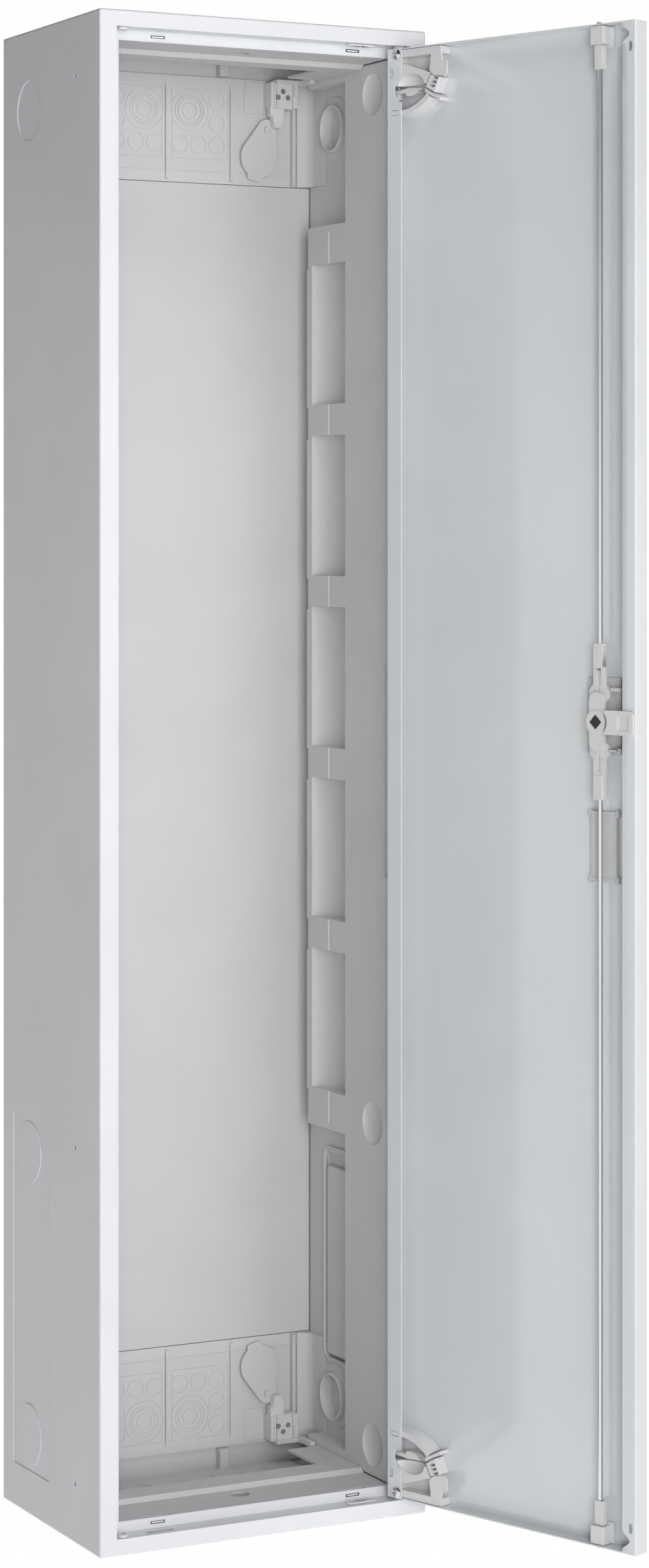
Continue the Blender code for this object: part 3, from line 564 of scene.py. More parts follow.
def side_marks():
    """The pressed-in upper knockout, the shallow field around the others, and the screw holes."""
    upper, *others = KNOCKOUT_Z
    marks = []
    for side in (1, -1):
        deep = pair(side, HALF_WIDTH - 0.7, HALF_WIDTH + 1)
        marks.append(cylinder("X", (deep, KNOCKOUT_Y, upper), KNOCKOUT_RADIUS, 96))
        field = prism("X", rounded(behind(104.5, 183), (-588, -289.5), 3), deep)
        for z in others:
            disc = (pair(side, HALF_WIDTH - 3, HALF_WIDTH + 3), KNOCKOUT_Y, z)
            field = cut(field, cylinder("X", disc, KNOCKOUT_RADIUS, 96))
        marks.append(field)
        for z in DIMPLE_Z:
            marks.append(cylinder("X", (pair(side, 147, 152), FRONT + 50.75, z), 2.1))
    return marks


def cable_openings():
    """The long openings that the flange plates close."""
    bm = bmesh.new()
    for end in (1, -1):
        add_block(bm, (-105, 105), behind(112, 190), pair(end, HALF_HEIGHT - 3, HALF_HEIGHT + 1))
    return bm


def make_hinge_bushings():
    """One in each corner of the rebate, so that the door can be hung on either side."""
    bore = PIN_RADIUS + BORE
    low = OPENING_Z - 2.6
    shoulder = OPENING_Z - GAP
    high = OPENING_Z + 4.5
    profile = [(bore, low), (3.6, low), (4.3, low + 0.3), (4.6, low + 1)]
    profile += [(4.6, shoulder), (3, shoulder), (3, high), (bore, high)]
    for end, level in ENDS:
        for side, hand in SIDES:
            place = (side * HINGE_X, FRONT + HINGE_DEPTH, 0)
            bm = solid(add_turned, "Z", place, flipped(profile, end), steps=32)
            refine(f"hinge_bushing_{level}_{hand}", bm)


def make_slot_plugs():
    """Rimmed plugs in the rod slots of the hinge side."""
    centre = (ROD_SLOT_X, ROD_SLOT_Y)
    for end, level in ENDS:
        bm = prism("Z", stadium(centre, 28, 7.4), pair(end, OPENING_Z - 1.6, OPENING_Z - GAP))
        bm = join(bm, prism("Z", stadium(centre, 24.2, 4.2), pair(end, OPENING_Z - 1, OPENING_Z + 2.4)))
        bm = cut(bm, prism("Z", stadium(centre, 23, 3.0), pair(end, OPENING_Z - 3, OPENING_Z - 0.9)))
        bar = block(around(ROD_SLOT_X, 0.6), around(ROD_SLOT_Y, 1.8), pair(end, OPENING_Z - 1.5, OPENING_Z))
        bm = join(bm, bar)
        refine(f"slot_plug_{level}", soften(bm, 0.3))


def make_spring_clips():
    """Bent spring clips that show in the clip slots of the rails."""
    for end, level in ENDS:
        bm = bmesh.new()
        for side in (1, -1):
            depth = behind(RAIL_DEPTH + 0.3, RAIL_DEPTH + 0.8)
            add_block(bm, around(side * CLIP_X, 5.2), depth, around(end * CLIP_Z, 0.55))
        add_piece(f"spring_clips_{level}", bm, "cabinet", "casing_paint")


# ---- lining


def pocket_outline():
    """Plan of a scooped pocket: it falls from its rear edge along a quarter ellipse to its floor."""
    centre_y = FRONT + 125
    points = []
    for i in range(17):
        angle = math.radians(90 * i / 16)
        reach = (POCKET_REAR_Y - centre_y) * math.cos(angle)
        points.append((CLEAR_X + POCKET_DEPTH * math.sin(angle), centre_y + reach))
    corner = arc((CLEAR_X + POCKET_DEPTH - 4, RECESS_FRONT_Y + 4), 4, 0, -90, 6)
    return points + corner + [(CLEAR_X - 2, RECESS_FRONT_Y), (CLEAR_X - 2, points[0][1])]


def liner_hollows(side):
    """The pockets and the recesses of a side liner."""
    outline = [(side * x, y) for x, y in pocket_outline()]
    bm = bmesh.new()
    for top in POCKET_TOPS:
        add_prism(bm, "Z", outline, (top - POCKET_HEIGHT, top))
    for low, high in (UPPER_RECESS, LOWER_RECESS):
        add_block(bm, pair(side, CLEAR_X - 1, RECESS_FLOOR), (RECESS_FRONT_Y, FRONT + 176), (low, high))
    return bm


def round_scoop(side, z):
    """A round hollow that deepens towards the front and ends there in a steep wall."""
    bowl = solid(add_ball, (side * (CLEAR_X - 1), DIMPLE_Y - 9, z), (9, 27.7, 21.5), 72)
    rim = cylinder("X", (pair(side, CLEAR_X - 3, CLEAR_X + 10), DIMPLE_Y, z), 18.5, 72)
    return boolean(bowl, rim, "INTERSECT")


def liner_grooves(side):
    """Half-round grooves that run from pocket to pocket, and the notch for the latch bolt."""
    stretches = [(POCKET_TOPS[0] - 1, UPPER_RECESS[0] - 5.75)]
    stretches += [(low - 1, high - POCKET_HEIGHT + 1) for low, high in zip(POCKET_TOPS[1:], POCKET_TOPS)]
    stretches.append((LOWER_RECESS[1] + 5.5, POCKET_TOPS[-1] - POCKET_HEIGHT + 1))
    bm = bmesh.new()
    for stretch in stretches:
        add_cylinder(bm, "Z", (side * (CLEAR_X - 1.6), FRONT + 128.5, stretch), 3.2, 32)
    add_block(bm, pair(side, CLEAR_X - 1, CLEAR_X + 1.2), behind(18, 29), (-90, 90))
    return bm


def ring_boss(side, z):
    """A flanged cup with a rounded rim, which stands proud of the recess's floor."""
    rim = arc((19.7, 136.9), 1.3, 180, 360, 8)
    profile = [(0, 145), (15.2, 145), (15.5, 145.5), (16.3, 145.5), (16.6, 144.8), *rim]
    profile += [(21.3, 139.9), (27.8, 139.9), (28.7, 140.7), (28.7, 145.9), (0, 145.9)]
    return solid(add_turned, "X", (0, KNOCKOUT_Y, z), [(r, side * x) for r, x in profile], steps=72)


def panel_lip(side):
    """A low lip that runs around the panel of the lower recess."""
    outer = prism("X", rounded(inset(PANEL_Y, -6), (-525.5, -338), 10), pair(side, 138, 142))
    inner = prism("X", rounded(inset(PANEL_Y, -4), (-523.8, -340), 8), pair(side, 130, 150))
    return soften(cut(outer, inner), 0.5)


def recess_panel(side):
    """The long raised panel of the lower recess."""
    return soften(prism("X", rounded(PANEL_Y, PANEL_Z, 4), pair(side, 138.8, 144.6)), 1.2, 3)


def make_side_liner(side, hand):
    """Moulded insulating side wall with scooped pockets and deep recesses at both ends."""
    half = LINER_HALF_HEIGHT
    bm = block(pair(side, CLEAR_X, LINER_BACK), (LINER_FRONT_Y, LINER_REAR_Y), (-half, half))
    lugs = bmesh.new()
    for top in POCKET_TOPS:
        rear = (LINER_REAR_Y - 3, LINER_REAR_Y + 2.5)
        add_block(lugs, pair(side, CLEAR_X, LINER_BACK - 1), rear, (top - POCKET_HEIGHT - 2.5, top - 3))
    bm = join(bm, lugs)
    bm = join(bm, block(pair(side, RECESS_FLOOR, LINER_BACK), (LINER_REAR_Y - 4, -8), (-half, half)))
    bm = soften(cut(bm, liner_hollows(side)), 1.1, 3)
    bm = soften(cut(bm, liner_grooves(side)), 0.3, 2, 50)
    moat = prism("X", rounded(inset(PANEL_Y, -4), (-523.8, -344), 6), pair(side, 140, 144.5))
    bm = cut(bm, moat)
    for z in (BOSS_Z, -BOSS_Z):
        bm = cut(bm, cylinder("X", (pair(side, 136, 146.5), KNOCKOUT_Y, z), 27, 72))
    bm = cut(bm, *(round_scoop(side, z) for z in DIMPLE_Z))
    for part in (panel_lip(side), recess_panel(side), ring_boss(side, BOSS_Z), ring_boss(side, -BOSS_Z)):
        append(bm, part)
    refine(f"side_liner_{hand}", bm)


def knockout_grooves(face, end):
    """Scored rings of the cable knockouts in the bays of a rear insert, and the outlines around them."""
    deep = (face - 1, face + 0.55)
    score = 0.75
    bm = bmesh.new()
    for side in (1, -1):
        for radius in (18.4, 14.0, 11.4, 7.2):
            place = (side * 22.1, 0, end * 572)
            add_ring(bm, "Y", place, radius - score, radius, deep, 64)
        spots = [(48.1, 582), (48.1, 562), (48.1, 542.8), (30.1, 542.8), (12.1, 542.8)]
        for x, z in spots:
            add_ring(bm, "Y", (side * x, 0, end * z), 7.8 - score, 7.8, deep, 40)
    return bm


def panel_lines(face, end):
    """Scored outlines of the insert's bays and of the label fields."""
    bm = bmesh.new()
    frames = [(pair(side, 4.5, 59.5), (530, 592)) for side in (1, -1)]
    frames += [(pair(side, 75, 95), (572, 601)) for side in (1, -1)]
    for width, (low, high) in frames:
        height = pair(end, low, high)
        hole = block(inset(width, 0.7), (face - 3, face + 3), inset(height, 0.7))
        append(bm, cut(block(width, (face - 1, face + 0.55), height), hole))
    return bm


def make_rear_insert(end, level):
    """Rear entry insert: a ribbed plate with cheeks that wrap the corners, and the flaps' pivots."""
    face = INSERT_FACE
    low, high = 509.4, 602.6
    slope = [(face + 2, low), (face + 1.4, low), (face, low + 3.2), (face, high), (face + 2, high)]
    bm = prism("X", flipped(slope, end), (-139, 139))
    bm = cut(bm, knockout_grooves(face, end), panel_lines(face, end))
    bm = cut(bm, block((-124, 124), (face - 1, face + 0.5), pair(end, 519.1, 519.8)))
    for side in (1, -1):
        hole = (side * FIXING_X, (face - 2, face + 4), end * FIXING_Z)
        bm = cut(bm, cylinder("Y", hole, 6.5, 32))
    ribs = bmesh.new()
    for x in (-FIELD_PITCH, 0, FIELD_PITCH):
        outline = [(face + 0.6, 511), (face - 1.6, 512.5), (face - 2.5, 520)]
        outline += [(face - 2.5, 590), (face + 0.6, 600)]
        add_prism(ribs, "X", flipped(outline, end), around(x, 1.5))
    for side in (1, -1):
        pivot = (side * FLAP_PIVOT_X, (face - 5.4, face + 0.6), end * FLAP_PIVOT_Z)
        add_cylinder(ribs, "Y", pivot, 2.6, 24)
        add_block(ribs, pair(side, 120.6, 123.2), (face - 5.5, face + 0.6), pair(end, low + 0.6, 578))
    bm = join(bm, ribs)
    for side in (1, -1):
        outline = [(126.4, face + 1), (126.4, face - 2.6), *arc((126.4, -22.4), 12, 90, 0, 12)]
        outline += [(140.2, -40), (140.7, -40), (140.7, -8.6), (139.5, face + 1)]
        outline = [(side * x, y) for x, y in outline]
        bm = join(bm, soften(prism("Z", outline, pair(end, low + 0.2, high - 0.2)), 0.6))
    refine(f"rear_insert_{level}", bm)


def flap_outline():
    """A slim pear with a small foot, given from its pivot and tilted."""
    outline = arc((0, 0), 9, 20, 160, 16)
    outline += arc((0, -26), 18.3, 160, 246, 20)
    outline += arc((-4.6, -45.4), 2, 180, 270, 5) + arc((4.6, -45.4), 2, 270, 360, 5)
    outline += arc((0, -26), 18.3, 294, 380, 20)
    turn = Matrix.Rotation(-FLAP_TILT, 2)
    return [tuple(turn @ Vector(point)) for point in outline]


def make_wall_flap(end, side, level, hand):
    """Pear-shaped cover that swings aside from a wall-fixing hole."""
    pivot = (side * FLAP_PIVOT_X, end * FLAP_PIVOT_Z)

    def placed(outline):
        return [(pivot[0] + side * x, pivot[1] + end * z) for x, z in outline]

    bm = soften(prism("Y", placed(flap_outline()), (-12.8, -10.7)), 0.7, 3)
    hole = cylinder("Y", (pivot[0], (-14, -9), pivot[1]), 2.6 + BORE, 24)
    refine(f"wall_flap_{level}_{hand}", cut(bm, hole))


def make_corner_bracket(end, side, level, hand):
    """Stepped bracket in a rear corner, with three screw holes and a tongue towards the flap."""
    rear = -8.2
    face = -21.5
    flap_front = -13.4
    parts = [
        block(pair(side, 98, 118), (face - 1.2, rear - 1), pair(end, 576.8, 599.2)),
        block(pair(side, 99, 124.4), (face - 5, -12), pair(end, 598.6, 602)),
        block(pair(side, 119.4, 124.4), (-50, -30), pair(end, 597, 601.5)),
        block(pair(side, 119, 124.4), (-31, face + 2), pair(end, 598, 601.8)),
        block(pair(side, 117, 120), (face - 3, rear - 2), pair(end, 588, 600)),
        block(pair(side, 104.4, 107), (face + 2, flap_front), pair(end, 567, 578.5)),
    ]
    bm = join(block(pair(side, 95.2, 121.8), (face, rear), pair(end, 578, 600)), *parts)
    tongue = [(95.2, 579), (95.2, 570), (97.6, 569.8), (98.6, 565), (100, 560.2)]
    tongue += [(104.6, 560.2), (108.2, 566), (108.4, 579)]
    bm = join(bm, prism("Y", [(side * x, end * z) for x, z in tongue], (face + 1, flap_front)))
    bm = soften(bm, 0.5)
    for x in (100.1, 115.8):
        bm = cut(bm, block(around(side * x, 0.6), (face - 3, face + 0.4), pair(end, 575, 598.6)))
    for x, z in ((106.7, 592.3), (101.9, 587), (111.5, 587)):
        bm = cut(bm, cylinder("Y", (side * x, (face - 3, face + 9), end * z), 2.4, 24))
    refine(f"corner_bracket_{level}_{hand}", bm)


def make_tray(end, level):
    """Plate behind the rail: a front step, a raised rear step, and two arms back to the brackets."""
    reach = CLEAR_X - 0.4
    front_y = LINER_FRONT_Y
    step_y = FRONT + 66.5
    rear_y = FRONT + 95.3
    lower = pair(end, CLEAR_Z, CLEAR_Z + 2)
    upper = pair(end, CLEAR_Z - 3.8, CLEAR_Z - 1.8)
    bm = block((-reach, reach), (front_y, step_y + 2), lower)
    ramp = [(step_y - 2, CLEAR_Z), (step_y + 1.9, CLEAR_Z - 3.8)]
    ramp += [(step_y + 3.9, CLEAR_Z - 3.8), (step_y, CLEAR_Z + 1)]
    bm = join(
        bm,
        prism("X", flipped(ramp, end), (-reach, reach)),
        block((-reach, reach), (step_y + 1.9, rear_y), upper),
    )
    arms = bmesh.new()
    for side in (1, -1):
        add_block(arms, pair(side, 95, reach), (rear_y - 1, FRONT + 150), upper)
    bm = soften(join(bm, arms), 0.5)
    openings = cylinder("Z", (0, FRONT + 50.6, pair(end, 600, 607)), 8)
    for side in (1, -1):
        add_block(openings, around(side * CLIP_X, 13), (front_y - 1, front_y + 3.5), pair(end, 600, 607))
        add_block(openings, around(side * 111, 10), behind(72, 73.6), pair(end, 598, 604))
        add_block(openings, around(side * 111, 5), behind(101, 103), pair(end, 598, 604))
    for x, depth in ((-112, 34), (0, 36), (110, 32)):
        add_cylinder(openings, "Z", (x, FRONT + depth, pair(end, 600, 607)), 0.9, 16)
    bm = cut(bm, openings)
    for side in (1, -1):
        for x in (33, 66, 85):
            bm = join(bm, block(around(side * x, 1.6), (rear_y - 2, rear_y + 1.9), pair(end, 600, 606)))
    refine(f"tray_{level}", bm)


def make_entry_lining(end, level):
    """Strip that lines the back wall beyond a rear insert."""
    bm = block((-138, 138), (-5.4, -1.6), pair(end, 603, 622.6))
    for side in (1, -1):
        stub = prism("Z", rounded(around(side * 54, 4.8), (-14, -4), 2), pair(end, 603.6, 622))
        bm = join(bm, soften(stub, 0.4))
    add_piece(f"entry_lining_{level}", bm, "cabinet", "lining")


def make_flange_plate(end, level):
    """Removable cable-entry plate over the opening in the top or the bottom."""
    z = HALF_HEIGHT - SHEET - GAP
    bm = block((-118, 118), (FRONT + 102, -9.5), pair(end, z - 2.5, z))
    rims = bmesh.new()
    for x, radius in ((-88, 12), (-44, 18), (0, 12), (44, 18), (88, 12)):
        add_ring(rims, "Z", (x, FRONT + 160, 0), radius - 1.5, radius, pair(end, z - 4.2, z - 2))
    refine(f"flange_plate_{level}", join(bm, rims))


# ---- door


def make_door_leaf():
    """Tray-shaped steel door with folded lips along both long edges."""
    bm = block(across(0, DOOR_WIDTH), (DOOR_FACE, LIP_PLANE), around(0, DOOR_HALF_HEIGHT))
    outer = [
        edge
        for edge in bm.edges
        if all(vert.co.y < 0 for vert in edge.verts)
        or abs(edge.verts[0].co.z - edge.verts[1].co.z) > 1
    ]
    bevel(bm, outer, 1.4, 4)
    inside = around(0, DOOR_HALF_HEIGHT - DOOR_SHEET)
    wide = across(DOOR_SHEET, DOOR_WIDTH - DOOR_SHEET)
    hollow = solid(add_block, wide, (INNER_FACE, LIP_UNDER), inside)
    mouth = across(HINGE_LIP, DOOR_WIDTH - FREE_LIP)
    bm = cut(bm, hollow, block(mouth, (LIP_UNDER - 1, LIP_PLANE + 1), inside))
    bm = cut(bm, lip_openings(), leaf_openings())
    refine("door_leaf", soften(bm, 0.25))


def wavy_notch(end):
    """The free lip's smooth end notch, as half of a wave."""
    edge = DOOR_WIDTH - FREE_LIP
    outline = [(edge - 3, 589.4), (edge - 3, 606.2)]
    for i in range(25):
        turn = 2 * math.pi * i / 24
        outline.append((edge - 0.5 + 3.8 * (1 - math.cos(turn)), 606.2 - 16.8 * i / 24))
    return on_door(outline, end)


def lip_openings():
    """Round notches at the hinge pins, oval holes, slots, screw holes, and the free lip's end notches."""
    through = (LIP_UNDER - 1, LIP_PLANE + 1)
    bm = bmesh.new()
    for end in (1, -1):
        add_cylinder(bm, "Y", (DOOR_EDGE - 19.2, through, end * 573.4), 10.8, 64)
        add_prism(bm, "Y", swapped(stadium((end * 587.8, DOOR_EDGE - 4.6), 8, 4.6)), through)
        add_prism(bm, "Y", stadium((DOOR_EDGE - HINGE_SLOT_A, end * HINGE_SLOT_Z), 10, 4.4), through)
        add_cylinder(bm, "Y", (DOOR_EDGE - SCREW_A, through, end * SCREW_Z), PIN_RADIUS, 24)
        add_prism(bm, "Y", wavy_notch(end), through)
        add_prism(bm, "Y", swapped(stadium((end * 587.6, DOOR_EDGE - 258.6), 8, 4)), through)
    return bm


def leaf_openings():
    """Holes in the top and bottom folds and, in the face, those for the lock and the grip."""
    face = (DOOR_FACE - 1, INNER_FACE + 1)
    bm = cylinder("Y", (LOCK_X, face, LOCK_Z), LOCK_HOLE)
    add_block(bm, around(LOCK_X, 13.3), face, (-75.3, -23.7))
    for end in (1, -1):
        fold = pair(end, DOOR_HALF_HEIGHT - 2, DOOR_HALF_HEIGHT + 1)
        add_cylinder(bm, "Z", (0, 0, fold), PIN_RADIUS + 0.4, 32)
        add_block(bm, around(LOCK_X, 3.9), around(ROD_Y, 2.6), fold)
    return bm


def flare_guard(bm, end):
    """Widens the foot of the guard's outer wall."""
    centre = Vector((DOOR_EDGE - GUARD_CENTRE[0], end * GUARD_CENTRE[1])) * MM
    for vert in bm.verts:
        reach = Vector((vert.co.x, vert.co.z)) - centre
        if vert.co.y < 0 and reach.length > (GUARD_INNER + 1) * MM:
            vert.co.x, vert.co.z = centre + reach * (GUARD_FOOT / GUARD_OUTER)
    return bm


def make_hinge_bracket(end, level):
    """Moulded carrier of a hinge pin: a beam, a hooked leg, a web with a scoop, and a curved guard."""

    def raised(outline, top, bottom=ON_LEAF):
        return prism("Y", on_door(outline, end), (bottom, top))

    plate = [(1.3, 607), (1.3, 550), (12, 550)]
    plate += arc(GUARD_CENTRE, GUARD_OUTER, -90, -48, 16) + [(46, 580), (50, 607)]
    web = [(1.3, 601), (1.3, 577), (41.6, 577), (46.4, 585.6), (12.9, 597), (12.9, 601)]
    hook = [(48, 601.4), (46.4, 588), (47.8, 585.4), (51.2, 582.9), (62.8, 581.2)]
    hook += [(65.2, 583), (65.8, 591.4), (64.8, 593.8), (60.2, 594.2), (59.4, 601.4)]
    wall = [(48, 601.4), (46.4, 588), (47.8, 585.4), (50.6, 583.4), (50.2, 601.4)]
    ribs = [(42.2, 574.1), (51.6, 568.6), (56.9, 580.8), (47.4, 583.8)]
    blade = [(40.8, 572.8), (57.4, 564.1), (57.0, 561.6), (41, 569.6)]
    guard = [(1.3, 551.5), *arc(GUARD_CENTRE, GUARD_OUTER, -90, -47, 20)]
    guard += [*arc(GUARD_CENTRE, GUARD_INNER, -47, -90, 20), (1.3, 557.2)]
    bm = join(
        raised(plate, ON_LEAF + 1.1),
        raised([(1.3, 607), (1.3, 600.8), (58.8, 600.8), (58.8, 607)], 8.7),
        raised(web, 8.2),
        flare_guard(raised(guard, 8.7), end),
        raised(wall, 8.6),
        raised(hook, 8.7, 7.4),
        raised(ribs, 8.3),
        raised(blade, 8.0),
    )
    scoop = solid(add_ball, (DOOR_EDGE - 25.5, 8.6, end * 577), (14.6, 8.4, 9.2))
    bm = soften(cut(bm, scoop), 0.35)
    for i in range(3):
        start = Vector((49.4 - 1.75 * i, 580.4 - 3.2 * i))
        run, rise = Vector((5.6, -1.4)), Vector((0.7, 1.9))
        outline = [start, start + run, start + run + rise, start + rise]
        bm = cut(bm, raised([tuple(point) for point in outline], 9, 0.6))
    bm = cut(
        bm,
        cylinder("Z", (0, 0, pair(end, 540, 610)), PIN_RADIUS + BORE, 24),
        cylinder("Y", (DOOR_EDGE - SCREW_A, (1.5, 12), end * SCREW_Z), PIN_RADIUS, 24),
        block(across(0.3, 10.5), (ON_LEAF - 1, 9), pair(end, 556, 576.6)),
    )
    tongue = soften(raised(stadium((HINGE_SLOT_A, HINGE_SLOT_Z), 9.3, 3.7), 9.7, 3.2), 0.5)
    refine(f"hinge_bracket_{level}", join(bm, tongue))


def make_hinge_pin(end, level):
    """Round pin with a bevelled tip."""
    profile = [(0, 549), (PIN_RADIUS, 549), (PIN_RADIUS, 616), (PIN_RADIUS - 0.8, 616.8), (0, 616.8)]
    pin = solid(add_turned, "Z", (0, 0, 0), flipped(profile, end), steps=32)
    refine(f"hinge_pin_{level}", pin)


def make_release_lever(end, level):
    """Collar on the pin with a finger, which draws the pin out of its bushing."""
    arm = [(4, 570.8), (13, 570.6), (20, 571.8), (32.6, 572.4)]
    arm += [(32.6, 574), (19, 574.9), (12, 573.9), (4, 573.6)]
    finger = [(16.8, 571), (18, 568.2), (23, 567.8), (29, 569.2), (32, 571.8), (24, 573.6)]
    bm = cylinder("Z", (0, 0, pair(end, 566, 573)), 3.3, 32)
    bm = join(
        bm,
        soften(prism("Y", on_door(arm, end), (1.4, 5.2)), 0.3),
        soften(prism("Y", on_door(finger, end), (-1.5, 6.0)), 0.5),
    )
    bm = cut(bm, cylinder("Z", (0, 0, pair(end, 560, 580)), PIN_RADIUS + BORE, 32))
    refine(f"release_lever_{level}", bm)


def make_hinge_screw(end, level):
    """Pan-head screw with a cross recess."""
    place = (DOOR_EDGE - SCREW_A, end * SCREW_Z)
    low = LIP_PLANE + GAP
    head = arc((0, low - 2.6), 4.7, 68, 90, 6)
    profile = [(0, 2.2), (1.7, 2.2), (1.7, low), (4.2, low), (4.4, low + 0.3), (4.3, low + 0.9)]
    profile += [(3.6, low + 1.5), *head]
    bm = solid(add_turned, "Y", (place[0], 0, place[1]), profile, steps=48)
    for half_x, half_z in ((2.4, 0.5), (0.5, 2.4)):
        recess = block(around(place[0], half_x), (low + 0.9, low + 3), around(place[1], half_z))
        bm = cut(bm, recess)
    refine(f"hinge_screw_{level}", bm)


# ---- lock


def diamond(side):
    """A square standing on its corner, on the lock's axis."""
    reach = side / math.sqrt(2)
    corners = ((reach, 0), (0, reach), (-reach, 0), (0, -reach))
    return [(LOCK_X + x, LOCK_Z + z) for x, z in corners]


def make_lock_plate():
    """Plate with a round boss around the lock bush, and two ears, one of which holds a guide pin."""
    bm = prism("Y", rounded(around(LOCK_X, 17), (24, 86), 2), (ON_LEAF, ON_LEAF + 2))
    boss = cylinder("Y", (LOCK_X, (ON_LEAF, ON_LEAF + 3.4), LOCK_Z), 16.5, 64)
    ears = bmesh.new()
    for z in (28.4, 76.6):
        add_block(ears, (LOCK_X - 22, LOCK_X - 12), (ON_LEAF, 6.4), around(z, 1.6))
    bm = soften(join(bm, boss, ears), 0.4)
    hole = cylinder("Y", (LOCK_X, (ON_LEAF - 2, ON_LEAF + 5), LOCK_Z), LOCK_HOLE)
    refine("lock_plate", cut(bm, hole))
    pin = cylinder("X", ((LOCK_X - 21, LOCK_X - 12.5), 7.9, 28.4), 1.2, 24)
    refine("guide_pin", soften(pin, 0.2))


def make_lock_bush():
    """Sleeve through the door, with a rounded rim on its outer face."""
    rim = arc((11.9, DOOR_FACE - 0.9), 0.7, 270, 360, 5)
    profile = [(6.3, ON_LEAF + 2.6), (6.3, DOOR_FACE - 1.0), (6.9, DOOR_FACE - 1.6), *rim]
    profile += [(12.6, DOOR_FACE - GAP), (9, DOOR_FACE - GAP), (9, ON_LEAF + 2.6)]
    refine("lock_bush", solid(add_turned, "Y", (LOCK_X, 0, LOCK_Z), profile, steps=64))


def make_square_insert():
    """Black square shank with a V notch inside, and the key's slot outside."""
    bm = cylinder("Y", (LOCK_X, (DOOR_FACE - 1.0, 0.1), LOCK_Z), 6, 48)
    bm = soften(join(bm, prism("Y", diamond(8), (-0.6, 10.3))), 0.25)
    key = prism("Y", swapped(stadium((LOCK_Z, LOCK_X), 8.4, 3.2)), (DOOR_FACE - 2, DOOR_FACE + 2.5))
    notch = [(LOCK_X + 0.5, LOCK_Z + 0.6), (LOCK_X + 7, LOCK_Z + 4.4), (LOCK_X + 7, LOCK_Z + 0.6)]
    refine("square_insert", cut(bm, key, prism("Y", notch, (7.0, 12))))


def make_lock_cam():
    """Cam with a round front and two lobes that drive the rods."""
    bm = cylinder("Y", (LOCK_X, (5.9, LIP_PLANE), LOCK_Z), 9.6, 64)
    lobes = prism("Y", swapped(stadium((LOCK_Z, LOCK_X), 48, 14.8)), (5.9, 8.9))
    hub = cylinder("Y", (LOCK_X, (0.5, 6.5), LOCK_Z), 7.4)
    bm = soften(join(bm, lobes, hub), 0.6, 3)
    refine("lock_cam", cut(bm, prism("Y", diamond(8 + 2 * GAP), (-1, 12))))


def make_latch_bolt():
    """Flat bolt with a hollowed inner end around the cam, and a raised frame around its pad."""
    low = LIP_PLANE + 0.4
    tip = DOOR_EDGE - 263.3
    neck = DOOR_EDGE - 234
    outline = arc((tip + 4, LOCK_Z + 5.8), 4, 90, 180, 8) + arc((tip + 4, LOCK_Z - 5.8), 4, 180, 270, 8)
    outline += [(neck, LOCK_Z - 9.8), (neck + 1.2, LOCK_Z - 8)]
    outline += arc((LOCK_X - 1, LOCK_Z), 12.2, 214, 146, 12)
    outline += [(neck + 1.2, LOCK_Z + 8), (neck, LOCK_Z + 9.8)]
    bm = soften(prism("Y", outline, (low, low + 2.2)), 0.5, 3)
    window = prism("Y", rounded((tip + 5, tip + 15), around(LOCK_Z, 6.6), 0.8), (low + 1.0, low + 4))
    step = block((tip + 15, tip + 16.2), (low + 1.0, low + 4), around(LOCK_Z, 12))
    refine("latch_bolt", cut(bm, soften(window, 0.3), step))


def rod_link_shape(end):
    """Slotted link with broad shoulders behind the cam, and the coupler that grips the rod."""

    def span(low, high):
        return tuple(sorted((LOCK_Z + end * low, LOCK_Z + end * high)))

    section = rounded(around(LOCK_X + 0.7, 4.9), (0.35, 6.2), 0.6, 3)
    coupler = soften(prism("Z", section, span(42.8, 62.8)), 0.4)
    shoulders = [(-6, 44), (-6, 30), (-10, 25.5), (-10, 19), (-4, 14)]
    shoulders += [(-x, z) for x, z in reversed(shoulders)]
    shoulders = [(LOCK_X + x, LOCK_Z + end * z) for x, z in shoulders]
    link = soften(prism("Y", shoulders, (2.2, 5.4)), 0.4)
    link = join(link, soften(block(around(LOCK_X - 4.2, 1.8), (2.2, 6.1), span(30, 44)), 0.3))
    return cut(
        join(coupler, link),
        block(around(LOCK_X + 0.6, 1.3), (4.2, 9), span(24, 40)),
        block(around(LOCK_X + 2.6, 1.1), (5.6, 9), span(57.2, 60.2)),
        cylinder("Z", (LOCK_X, ROD_Y, span(47.5, 66)), ROD_RADIUS + BORE, 24),
    )


